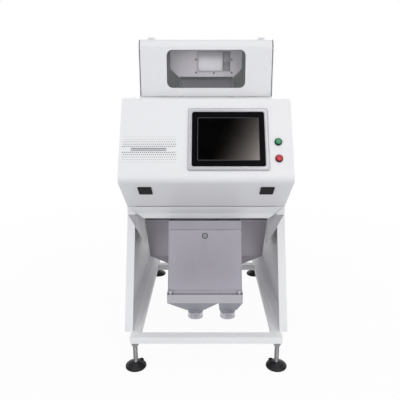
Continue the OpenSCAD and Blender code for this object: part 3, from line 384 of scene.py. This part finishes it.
def coated(name, colour, rough, peel=520.0, peel_mm=0.05, vary=0.03, specular=0.4):
    """Powder coat or moulded plastic: fine grain, faint cloudiness, uneven gloss."""
    mat, nodes, links, shader = start_material(name)
    cloud = noise(nodes, links, COAT_CLOUD, detail=4.0)
    vary_colour(nodes, links, shader, cloud, colour, vary)
    haze = noise(nodes, links, COAT_HAZE, detail=5.0)
    vary_roughness(nodes, links, shader, haze, (rough - COAT_UNEVEN, rough + COAT_UNEVEN))
    shader.inputs["Specular IOR Level"].default_value = specular
    add_bump(nodes, links, shader, noise(nodes, links, peel, detail=2.0), COAT_BUMP, peel_mm * MM)
    return mat


def brushed(name, colour, grain, rough=0.34, vary=0.05, aniso=0.4, line_mm=0.01):
    """Metal with its fine grinding lines along a grain, and soft blotches."""
    mat, nodes, links, shader = start_material(name)
    lines = noise(nodes, links, STEEL_LINES, grain, detail=6.0, rough=0.65)
    cloud = noise(nodes, links, STEEL_CLOUD)
    mix = nodes.new("ShaderNodeMath")
    mix.operation = "MULTIPLY_ADD"
    mix.inputs[1].default_value = STEEL_CLOUD_SHARE
    links.new(cloud, mix.inputs[0])
    links.new(lines, mix.inputs[2])
    tone = map_range(nodes, links, mix.outputs[0], NOISE_MIDDLE, (0.0, 1.0))
    vary_colour(nodes, links, shader, tone, colour, vary)
    vary_roughness(nodes, links, shader, lines, (rough - STEEL_SMOOTHER, rough + STEEL_ROUGHER))
    shader.inputs["Metallic"].default_value = 1.0
    shader.inputs["Anisotropic"].default_value = aniso
    add_bump(nodes, links, shader, lines, STEEL_BUMP, line_mm * MM)
    return mat


def dark_glass(name, colour):
    """Unlit display behind glass: almost black, with a faint pixel grain."""
    mat, nodes, links, shader = start_material(name)
    vary_colour(nodes, links, shader, noise(nodes, links, GLASS_GRAIN, detail=1.0), colour, GLASS_VARY)
    vary_roughness(nodes, links, shader, noise(nodes, links, GLASS_SMEAR, detail=4.0), GLASS_ROUGH)
    shader.inputs["Specular IOR Level"].default_value = GLASS_SPECULAR
    return mat


def clear_plastic(name, colour):
    """Clear acrylic pane with a faint haze."""
    mat, nodes, links, shader = start_material(name)
    vary_roughness(nodes, links, shader, noise(nodes, links, PANE_SMEAR, detail=4.0), PANE_ROUGH)
    shader.inputs["Base Color"].default_value = colour
    shader.inputs["Alpha"].default_value = PANE_ALPHA
    return mat


# Finishes: one for each material slot, and those of single nodes and pieces that differ from their slot; some of
# these are lighter or darker copies of a slot's finish, as painted light or shade

SLOT_LOOKS = {
    "white_paint": (coated, dict(colour=(0.83, 0.83, 0.845), rough=0.42)),
    "stainless": (brushed, dict(colour=(0.30, 0.29, 0.33), grain=LEVEL_GRAIN)),
    "funnel_steel": (brushed, dict(colour=(0.29, 0.275, 0.31), grain=UPRIGHT_GRAIN, rough=0.42)),
    "zinc": (brushed, dict(colour=(0.60, 0.60, 0.58), grain=TURNED_GRAIN, rough=0.3, aniso=0.0)),
    "foot_black": (coated, dict(colour=(0.010, 0.010, 0.013), rough=0.42, peel=900, vary=0.2, specular=0.25)),
    "dark_metal": (coated, dict(colour=(0.12, 0.12, 0.13), rough=0.5, vary=0.08)),
    "dark_plastic": (coated, dict(colour=(0.10, 0.10, 0.11), rough=0.55, vary=0.08)),
    "black_plastic": (coated, dict(colour=(0.008, 0.008, 0.010), rough=0.42, peel=1200, vary=0.15,
                                   specular=0.12)),
    "light_plastic": (coated, dict(colour=(0.72, 0.72, 0.74), rough=0.45)),
    "silver_trim": (brushed, dict(colour=(0.34, 0.345, 0.37), grain=LEVEL_GRAIN, rough=0.38)),
    "gloss_black": (coated, dict(colour=(0.003, 0.003, 0.004), rough=0.3, peel_mm=0.005, vary=0.1,
                                 specular=0.02)),
    "display_glass": (dark_glass, dict(colour=(0.0015, 0.0013, 0.0013))),
    "clear_pane": (clear_plastic, dict(colour=PANE_COLOUR)),
    "green_button": (coated, dict(colour=(0.004, 0.22, 0.085), rough=0.25, peel_mm=0.01, vary=0.06)),
    "red_button": (coated, dict(colour=(0.52, 0.012, 0.022), rough=0.25, peel_mm=0.01, vary=0.06)),
}
MATERIALS = {slot: make(slot, **look) for slot, (make, look) in SLOT_LOOKS.items()}

DOOR_STEEL = brushed("stainless_door", (0.285, 0.275, 0.315), UPRIGHT_GRAIN, rough=0.36)
# The flange and the outlets are lighter copies of the stainless: painted light
FLANGE_STEEL_PAINTED_LIGHT = brushed("stainless_flange_painted_light", (0.46, 0.45, 0.49), LEVEL_GRAIN, rough=0.40)
SPOUT_STEEL = brushed("stainless_spout", (0.27, 0.27, 0.31), UPRIGHT_GRAIN, rough=0.38)
OUTLET_STEEL_PAINTED_LIGHT = brushed("stainless_outlet_painted_light", (0.52, 0.51, 0.55), UPRIGHT_GRAIN, rough=0.32, aniso=0.0,
                       line_mm=0.002)
# Dark steel of the sheets beside the feeder's box: painted shadow that the box casts
SHADOW_STRIP_STEEL = brushed("painted_shadow_strip", (0.24, 0.23, 0.25), UPRIGHT_GRAIN, rough=0.45)
# Lighter steel on the feeder's box and plate behind the window: painted light that makes up for the dim light
# inside
BOX_STEEL_PAINTED_LIGHT = brushed("stainless_box_painted_light", (0.66, 0.65, 0.69), UPRIGHT_GRAIN, rough=0.45)
PLATE_STEEL_PAINTED_LIGHT = brushed("stainless_plate_painted_light", (0.52, 0.50, 0.54), LEVEL_GRAIN, rough=0.45)
LOCK_STEEL = brushed("lock_steel", (0.24, 0.24, 0.26), EVEN_GRAIN, rough=0.3, aniso=0.0)
# Darker copy of the zinc on the studs and lock nuts: painted shade that stands in for dark reflections
STUD_STEEL_PAINTED_SHADE = brushed("stud_steel_painted_shade", (0.26, 0.26, 0.27), TURNED_GRAIN, rough=0.24, aniso=0.0)
# Whiter copy of the white paint on the rails and front bar: painted light that brightens their shaded faces
FRAME_PAINT_PAINTED_LIGHT = coated("frame_paint_painted_light", (0.90, 0.90, 0.91), rough=0.42)
RIM_GREY = coated("rim_grey", (0.10, 0.10, 0.105), rough=0.5, vary=0.08)

NODE_FINISH = {
    "bin_door": DOOR_STEEL,
    "bin_body": DOOR_STEEL,
    "bin_flange": FLANGE_STEEL_PAINTED_LIGHT,
    "bin_funnels": SPOUT_STEEL,
    "outlets": OUTLET_STEEL_PAINTED_LIGHT,
    "side_rails": FRAME_PAINT_PAINTED_LIGHT,
    "front_bar": FRAME_PAINT_PAINTED_LIGHT,
    "bin_lock": LOCK_STEEL,
    "lock_nuts": STUD_STEEL_PAINTED_SHADE,
    "feeder_plate": PLATE_STEEL_PAINTED_LIGHT,
}


def dress_nodes():
    """Gives every CAD node its own finish, or else that of its material slot."""
    for part in frame["record"]["subparts"]:
        finish = NODE_FINISH.get(part["node"], MATERIALS[part["material_slot"]])
        for slot in NODE[part["node"]].material_slots:
            slot.material = finish


# Pieces: edges are shown sharp above an angle in degrees, which is larger where a surface is rolled

SHARP = 35.0
SHARP_PAD = 50.0
SHARP_ROLLED = 60.0
SHARP_THREAD = 80.0


def link_piece(name, bm, material, body, slot, sharp=SHARP):
    """Makes a piece of a mesh in frame coordinates that moves with a body."""
    bmesh.ops.recalc_face_normals(bm, faces=bm.faces[:])
    limit = math.radians(sharp)
    for face in bm.faces:
        face.smooth = True
    for edge in bm.edges:
        edge.smooth = len(edge.link_faces) == 2 and edge.calc_face_angle(0.0) < limit
    mesh = bpy.data.meshes.new(name)
    bm.to_mesh(mesh)
    bm.free()
    mesh.materials.append(material)
    piece = bpy.data.objects.new(name, mesh)
    bpy.context.scene.collection.objects.link(piece)
    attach(piece, body)
    return piece


def add_rings(bm, rings, close=True, cap=True, loop=False):
    """Joins rings of points, each with the same count, by quads; loop also joins the last to the first."""
    rows = [[bm.verts.new(point) for point in ring] for ring in rings]
    count = len(rows[0])
    last = count if close else count - 1
    for low, high in zip(rows, rows[1:] + rows[:1] if loop else rows[1:]):
        for k in range(last):
            n = (k + 1) % count
            bm.faces.new((low[k], low[n], high[n], high[k]))
    if cap and not loop:
        bm.faces.new(rows[0][::-1])
        bm.faces.new(rows[-1])
    return rows


def circle(spin, radius, height, steps):
    """Ring of points; spin maps (radius, angle, height) in millimetres to a point."""
    return [spin(radius, TURN * k / steps, height) for k in range(steps)]


def lathe(bm, profile, spin, steps=48, cap=True, loop=False):
    """Turned form with a profile of (radius, height)."""
    add_rings(bm, [circle(spin, radius, height, steps) for radius, height in profile], cap=cap, loop=loop)


def upright(place):
    """Spin about a vertical axis through a place in millimetres."""
    x, y, z = place
    return lambda r, a, h: ((x + r * math.cos(a)) * MM, (y + r * math.sin(a)) * MM, (z + h) * MM)


def lengthwise(place):
    """Spin about an axis along Y through a place in millimetres."""
    x, y, z = place
    return lambda r, a, h: ((x + r * math.cos(a)) * MM, (y + h) * MM, (z + r * math.sin(a)) * MM)


class Face:
    """A flat face of the machine: x across, s down the slope, h out of it, in millimetres."""

    def __init__(self, top, low):
        """top and low are (y, z) of its upper and lower edge."""
        self.top = Vector((0, *top))
        self.down = (Vector((0, *low)) - self.top).normalized()
        self.out = Vector((0, self.down.z, -self.down.y))

    def at(self, x, s, h):
        """The point in metres."""
        return (self.top + Vector((x, 0, 0)) + self.down * s + self.out * h) * MM

    def spin(self, x, s):
        """Spin about an axis that stands on the face."""
        return lambda r, a, h: self.at(x + r * math.cos(a), s + r * math.sin(a), h)

    def locate(self, place):
        """x and s of a place in millimetres."""
        return place[0], (Vector(place) - self.top).dot(self.down)


PANEL = Face(top=(-264.0, 1124.0), low=(-453.0, 815.0))
BIN = Face(top=(-287.0, 598.0), low=(-411.0, 309.0))


# Vent: round holes in rows above and below the slot, smaller row by row, drawn as dark discs of painted shade

VENT_X, VENT_S = PANEL.locate(node_middle("vent_insert"))
DOT_ROWS = (13.0, 22.5, 33.0, 43.5, 55.0)
DOT_RADII = (2.3, 2.0, 1.65, 1.3, 0.95)
DOT_PITCH = 8.0
DOT_SPAN = 216.0
DOT_STEPS = 12
DOT_PROFILE = ((1.0, 0.02), (0.96, 0.22), (0.8, 0.24), (0.5, 0.1))


def make_vent_holes():
    """Each hole is a thin dark disc of painted shade with a hollow, whose profile has shares of its radius, and
    heights.
    """
    bm = bmesh.new()
    count = int(DOT_SPAN / DOT_PITCH)
    for row, (gap, radius) in enumerate(zip(DOT_ROWS, DOT_RADII)):
        profile = [(radius * share, height) for share, height in DOT_PROFILE]
        first_x = VENT_X - DOT_SPAN / 2 + DOT_PITCH / 2 * (1 + row % 2)
        for side in (-1, 1):
            for k in range(count):
                spin = PANEL.spin(first_x + k * DOT_PITCH, VENT_S + side * gap)
                lathe(bm, profile, spin, steps=DOT_STEPS)
    link_piece("vent_hole_shade_discs", bm, MATERIALS["dark_plastic"], "control_box", "dark_plastic")


# Screen: a thin grey rim round the glass, and a raised, rolled edge on the silver frame

SCREEN_X, SCREEN_S = PANEL.locate(node_middle("screen_trim"))
CORNER_STEPS = 6
DISPLAY = (246.0, 184.0)
RIM_W = 1.5
RIM_R = 2.0
BEZEL_TOP = 4.0
RIM_PROFILE = ((0, 0.02), (0.1, 0.35), (0.5, 0.5), (0.9, 0.3), (1, -0.9))
TRIM_OUTER = (327.6, 271.6)
TRIM_INNER = (295.4, 239.4)
TRIM_R = 9.0
TRIM_PROFILE = ((0, 4.6), (0.1, 5.6), (0.25, 6.1), (0.75, 6.1), (0.9, 5.7), (1, 4.2))


def round_rect(width, height, r):
    """Outline of a rectangle with round corners, counter-clockwise."""
    points = []
    for quarter, (right, up) in enumerate(((1, 1), (-1, 1), (-1, -1), (1, -1))):
        for k in range(CORNER_STEPS + 1):
            angle = TURN / 4 * (quarter + k / CORNER_STEPS)
            points.append((right * (width / 2 - r) + r * math.cos(angle),
                           up * (height / 2 - r) + r * math.sin(angle)))
    return points


def make_screen_frame(name, outer, inner, r, profile, material, slot):
    """Frame round the screen; its profile goes from the outer rectangle 0 to the inner 1, with heights."""
    rings = []
    for part, h in profile:
        width, height = (o + (i - o) * part for o, i in zip(outer, inner))
        rings.append([PANEL.at(SCREEN_X + x, SCREEN_S - y, h) for x, y in round_rect(width, height, r)])
    bm = bmesh.new()
    add_rings(bm, rings, cap=False)
    link_piece(name, bm, material, "control_box", slot, sharp=SHARP_ROLLED)


def make_display_rim():
    """The rim's heights are over the bezel."""
    outer = [side + 2 * RIM_W for side in DISPLAY]
    profile = [(part, BEZEL_TOP + h) for part, h in RIM_PROFILE]
    make_screen_frame("display_rim", outer, DISPLAY, RIM_R, profile, RIM_GREY, "dark_plastic")


def make_trim_edge():
    make_screen_frame("trim_edge", TRIM_OUTER, TRIM_INNER, TRIM_R, TRIM_PROFILE,
                      MATERIALS["silver_trim"], "silver_trim")


# Push buttons: caps with a raised rim and a shallow hollow, each with its place down the panel and its slot

BUTTON_X = node_middle("button_rings").x
BUTTONS = {"start_button": (196.0, "green_button"), "stop_button": (268.0, "red_button")}
BUTTON_STEPS = 40
BUTTON_PROFILE = (
    (8.0, -19.0), (8.0, 4.4), (12.2, 4.6), (12.48, 5.2), (12.48, 9.2), (12.1, 10.2), (11.3, 10.8),
    (10.4, 11.0), (9.6, 10.75), (7.5, 10.45), (4.0, 10.3), (0.05, 10.25),
)


def make_buttons():
    for node, (s, slot) in BUTTONS.items():
        bm = bmesh.new()
        lathe(bm, BUTTON_PROFILE, PANEL.spin(BUTTON_X, s), steps=BUTTON_STEPS)
        cap = link_piece(node + "_cap", bm, MATERIALS[slot], node, slot)
        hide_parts(node)


# Levelling feet: a domed pad with two anchor bosses, and a threaded stud

FEET = ("foot_front_left", "foot_front_right", "foot_rear_left", "foot_rear_right")
PAD_STEPS = 56
PAD_PROFILE = (
    (0.05, 0), (41.5, 0), (43.8, 0.8), (45.0, 2.6), (45.0, 5.6), (43.9, 8.4), (41.0, 11.2), (36.5, 14.2),
    (31.0, 17.2), (25.5, 20.2), (21.5, 22.6), (18.6, 24.2), (17.0, 25.2), (15.6, 25.9), (11.5, 26.0),
    (10.6, 25.4),
)
BOSS_STEPS = 28
BOSS_PROFILE = (
    (10.4, 2.0), (10.4, 19.6), (10.0, 20.9), (9.0, 21.6), (7.4, 21.8), (6.3, 21.5), (5.6, 20.8), (5.5, 8.0),
)
BOSS_R = 30.0
BOSS_TURN = math.radians(45)
THREAD_PITCH = 2.5
THREAD_DEPTH = 1.3
THREAD_SIDES = 20
ROWS_PER_PITCH = 4
STUD_R = 10.0
STUD_SPAN = (10.0, 144.0)


def add_thread(bm, place):
    """Stud whose surface follows one helix."""
    spin = upright(place)
    low, high = STUD_SPAN
    count = int((high - low) / THREAD_PITCH * ROWS_PER_PITCH)
    rings = []
    for row in range(count + 1):
        z = low + (high - low) * row / count
        ring = []
        for k in range(THREAD_SIDES):
            phase = (z / THREAD_PITCH - k / THREAD_SIDES) % 1.0
            ring.append(spin(STUD_R - THREAD_DEPTH * abs(2 * phase - 1), TURN * k / THREAD_SIDES, z))
        rings.append(ring)
    add_rings(bm, rings)


def make_feet():
    """The bosses of each foot lie along its diagonal of the machine."""
    for node in FEET:
        x, y, _ = joint_place(node + "_turn")
        turn = math.copysign(BOSS_TURN, x * y)
        bm = bmesh.new()
        lathe(bm, PAD_PROFILE, upright((x, y, 0.0)), steps=PAD_STEPS)
        for reach in (-BOSS_R, BOSS_R):
            boss = (x + reach * math.cos(turn), y + reach * math.sin(turn), 0.0)
            lathe(bm, BOSS_PROFILE, upright(boss), steps=BOSS_STEPS)
        pad = link_piece(node + "_pad", bm, MATERIALS["foot_black"], node, "foot_black", sharp=SHARP_PAD)
        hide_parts(node)
        bm = bmesh.new()
        add_thread(bm, (x, y, 0.0))
        link_piece(node + "_stud", bm, STUD_STEEL_PAINTED_SHADE, node, "zinc", sharp=SHARP_THREAD)


# Bin door: a skin with rolled edges and a hole for the lock, and a ring round the lock

BIN_X, LOCK_S = BIN.locate(joint_place("bin_lock_turn"))
DOOR_LOW, DOOR_HIGH = node_box("bin_door")
SKIN_OVER = 0.2
DOOR_HALF = (DOOR_HIGH.x - DOOR_LOW.x) / 2 + SKIN_OVER
DOOR_SPAN = (39.2, 299.0)
SKIN_H = 0.9
SKIN_R = 5.0
ROLL_ARC = math.radians(67.5)
ROLL_STEPS = 6
FLAT_XS = (-110.0, -60.0, -20.0, 20.0, 60.0, 110.0)
END_ROLL = ((0.0, 0.9), (0.6, 0.15), (2.0, 0.0))
LOCK_STEPS = 40
LOCK_HOLE_R = 10.8
LOCK_RING = ((10.4, 0.3), (12.6, 1.0), (12.9, 1.8), (12.4, 2.6), (11.4, 2.8), (10.6, 2.3), (10.4, 1.2))


def door_section():
    """Section across the door: flat front, edges rolled back."""
    right = []
    for k in range(ROLL_STEPS + 1):
        angle = ROLL_ARC * k / ROLL_STEPS
        right.append((DOOR_HALF - SKIN_R * (1 - math.sin(angle)), SKIN_H - SKIN_R * (1 - math.cos(angle))))
    return [(-x, h) for x, h in reversed(right)] + [(x, SKIN_H) for x in FLAT_XS] + right


def open_lock_hole(bm, upper, lower):
    """Opens a round hole for the lock in the middle strip of the flat front, between two rows of points."""
    k = len(upper) // 2 - 1
    corners = [upper[k], upper[k + 1], lower[k + 1], lower[k]]
    bm.faces.remove(bm.faces.get(corners))
    spin = BIN.spin(BIN_X, LOCK_S)
    rim = [bm.verts.new(point) for point in circle(spin, LOCK_HOLE_R, SKIN_H, LOCK_STEPS)]
    edges = [bm.edges.get((a, b)) for a, b in zip(corners, corners[1:] + corners[:1])]
    edges += [bm.edges.new((a, b)) for a, b in zip(rim, rim[1:] + rim[:1])]
    bmesh.ops.triangle_fill(bm, use_beauty=True, edges=edges)


def make_door_skin():
    """At both ends the skin drops to the door, over rows of (inset, drop)."""
    upper = [(DOOR_SPAN[0] + inset, drop) for inset, drop in END_ROLL]
    lower = [(DOOR_SPAN[1] - inset, drop) for inset, drop in reversed(END_ROLL)]
    rings = [[BIN.at(BIN_X + x, s, h - drop) for x, h in door_section()] for s, drop in upper + lower]
    bm = bmesh.new()
    rows = add_rings(bm, rings, close=False, cap=False)
    open_lock_hole(bm, rows[len(upper) - 1], rows[len(upper)])
    link_piece("bin_door_skin", bm, DOOR_STEEL, "bin_door", "stainless", sharp=SHARP_ROLLED)


def make_lock_ring():
    bm = bmesh.new()
    lathe(bm, LOCK_RING, BIN.spin(BIN_X, LOCK_S), steps=LOCK_STEPS, loop=True)
    link_piece("bin_lock_ring", bm, MATERIALS["black_plastic"], "bin_door", "black_plastic")


# Outlets: a bead at the top and one near the lower end of each spout

OUTLET_LOW, OUTLET_HIGH = node_box("outlets")
OUTLET_R = 33.0
OUTLET_XS = (OUTLET_LOW.x + OUTLET_R, OUTLET_HIGH.x - OUTLET_R)
OUTLET_Y = node_middle("outlets").y
TOP_BEAD = 1.6
LOW_BEAD = 1.2
LOW_BEAD_RISE = 2.0
OUTLET_BEADS = ((OUTLET_HIGH.z, TOP_BEAD), (OUTLET_LOW.z + LOW_BEAD_RISE, LOW_BEAD))
BEAD_STEPS = 8


def bead(radius, height, size):
    """Profile of a rounded bead on a round wall."""
    return [(radius + size * math.sin(math.pi * k / BEAD_STEPS), height + size * (2 * k / BEAD_STEPS - 1))
            for k in range(BEAD_STEPS + 1)]


def make_outlet_beads():
    bm = bmesh.new()
    for x in OUTLET_XS:
        for height, size in OUTLET_BEADS:
            lathe(bm, bead(OUTLET_R, height, size), upright((x, OUTLET_Y, 0.0)), cap=False)
    link_piece("outlet_beads", bm, OUTLET_STEEL_PAINTED_LIGHT, "frame", "stainless", sharp=SHARP_ROLLED)


# Window: slabs of (x span, z span, front y) on the feeder's front plate: a lighter sheet cover over its box, dark
# sheets of painted shadow where the box casts its shadow, and dark strips of painted shadow in the gaps under the
# plate and beside the cover

BOX_COVER = (((-38.0, 80.0), (1240.2, 1331.0), 95.4),)
# Dark sheets beside the box: painted shadow that the box casts to its right
SHADOW_STRIP_X = (83.4, 117.6)
SHADOW_STRIPS = ((SHADOW_STRIP_X, (1239.5, 1281.6), 114.3), (SHADOW_STRIP_X, (1282.0, 1332.4), 113.6))
# Dark strip in the gap under the feeder's plate: painted shadow
PLATE_GAP_SHADOW = (((-131.0, 131.0), (1206.5, 1214.0), 116.6),)
# Dark strips in the gaps beside the window cover: painted shadow
GAP_SHADOW_Z = (1128.0, 1332.0)
GAP_SHADOW_Y = -83.0
COVER_GAP_SHADOWS = (((-297.3, -293.7), GAP_SHADOW_Z, GAP_SHADOW_Y), ((293.7, 297.3), GAP_SHADOW_Z, GAP_SHADOW_Y))
MID_EDGE = 0.3


def make_slabs(name, slabs, material, slot, depth, edge):
    """Upright slabs whose front edges are turned over."""
    bm = bmesh.new()
    for (x0, x1), (z0, z1), y in slabs:
        rings = []
        for inset, back in ((0.0, depth), (0.0, edge), (edge * MID_EDGE, edge * MID_EDGE), (edge, 0.0)):
            left, right, low, high = x0 + inset, x1 - inset, z0 + inset, z1 - inset
            corners = ((left, low), (right, low), (right, high), (left, high))
            rings.append([(x * MM, (y + back) * MM, z * MM) for x, z in corners])
        add_rings(bm, rings)
    link_piece(name, bm, material, "frame", slot, sharp=SHARP_ROLLED)


def make_feeder_front():
    # Sheet over the box in lighter steel: painted light
    make_slabs("feeder_box_cover", BOX_COVER, BOX_STEEL_PAINTED_LIGHT, "stainless", depth=10.0, edge=1.6)
    # Dark sheets of painted shadow beside the box
    make_slabs("feeder_painted_shadow_strips", SHADOW_STRIPS, SHADOW_STRIP_STEEL, "stainless", depth=3.4, edge=0.9)
    # Dark strip of painted shadow under the plate
    make_slabs("feeder_gap_shadow", PLATE_GAP_SHADOW, MATERIALS["black_plastic"], "black_plastic", depth=1.3, edge=0.6)
    # Dark strips of painted shadow in the gaps beside the cover
    make_slabs("cover_gap_shadows", COVER_GAP_SHADOWS, MATERIALS["dark_metal"], "dark_metal", depth=1.9, edge=0.7)


# Back: a wire guard over the fan, with rings and pairs of spokes

GUARD_Y = 471.5
RING_LIFT = 1.2
RING_RADII = (14.0, 25.0, 36.0, 47.0, 57.0)
SPOKE_LIFT = 3.0
SPOKE_SPAN = (12.0, 74.0)
SPOKE_SIDE = 3.0
SPOKE_PAIRS = 4
WIRE_R = 1.1
WIRE_SIDES = 8
WIRE = [(WIRE_R * math.cos(TURN * k / WIRE_SIDES), WIRE_R * math.sin(TURN * k / WIRE_SIDES))
        for k in range(WIRE_SIDES)]


def add_spoke(bm, place, angle, side):
    """Straight wire that runs outwards at an angle, beside the line through the middle."""
    x, y, z = place
    rings = []
    for r in SPOKE_SPAN:
        rings.append([((x + r * math.cos(angle) - (side + across) * math.sin(angle)) * MM, (y + h) * MM,
                       (z + r * math.sin(angle) + (side + across) * math.cos(angle)) * MM)
                      for across, h in WIRE])
    add_rings(bm, rings)


def make_fan_guard():
    x, _, z = joint_place("fan_spin")
    bm = bmesh.new()
    for radius in RING_RADII:
        profile = [(radius + out, h) for out, h in WIRE]
        lathe(bm, profile, lengthwise((x, GUARD_Y + RING_LIFT, z)), loop=True)
    for k in range(SPOKE_PAIRS):
        for side in (-SPOKE_SIDE, SPOKE_SIDE):
            add_spoke(bm, (x, GUARD_Y + SPOKE_LIFT, z), TURN * (k + 0.5) / SPOKE_PAIRS, side)
    link_piece("fan_guard", bm, MATERIALS["zinc"], "frame", "zinc", sharp=SHARP_ROLLED)


# Edges: small roundings on CAD nodes

SHEET_EDGE = 0.8
TUBE_EDGE = 2.0
EDGE_ANGLE = math.radians(40)
EDGE_STEPS = 2
SHEET_NODES = ("latch_housings", "latch_left", "latch_right", "button_rings", "lock_nuts", "control_box",
               "window_cover", "bin_flange")
TUBE_NODES = ("front_bar", "side_rails", "mid_bar", "rear_bar")


def soften(names, width):
    for name in names:
        edge = NODE[name].modifiers.new("edge", "BEVEL")
        edge.width = width * MM
        edge.segments = EDGE_STEPS
        edge.limit_method = "ANGLE"
        edge.angle_limit = EDGE_ANGLE


make_camera()
make_world()
make_floor()
make_lamps()
make_cards()
dress_nodes()
make_vent_holes()
make_display_rim()
make_trim_edge()
make_buttons()
make_feet()
make_door_skin()
make_lock_ring()
make_outlet_beads()
make_feeder_front()
make_fan_guard()
soften(SHEET_NODES, SHEET_EDGE)
soften(TUBE_NODES, TUBE_EDGE)

bpy.context.scene.view_settings.view_transform = "Standard"
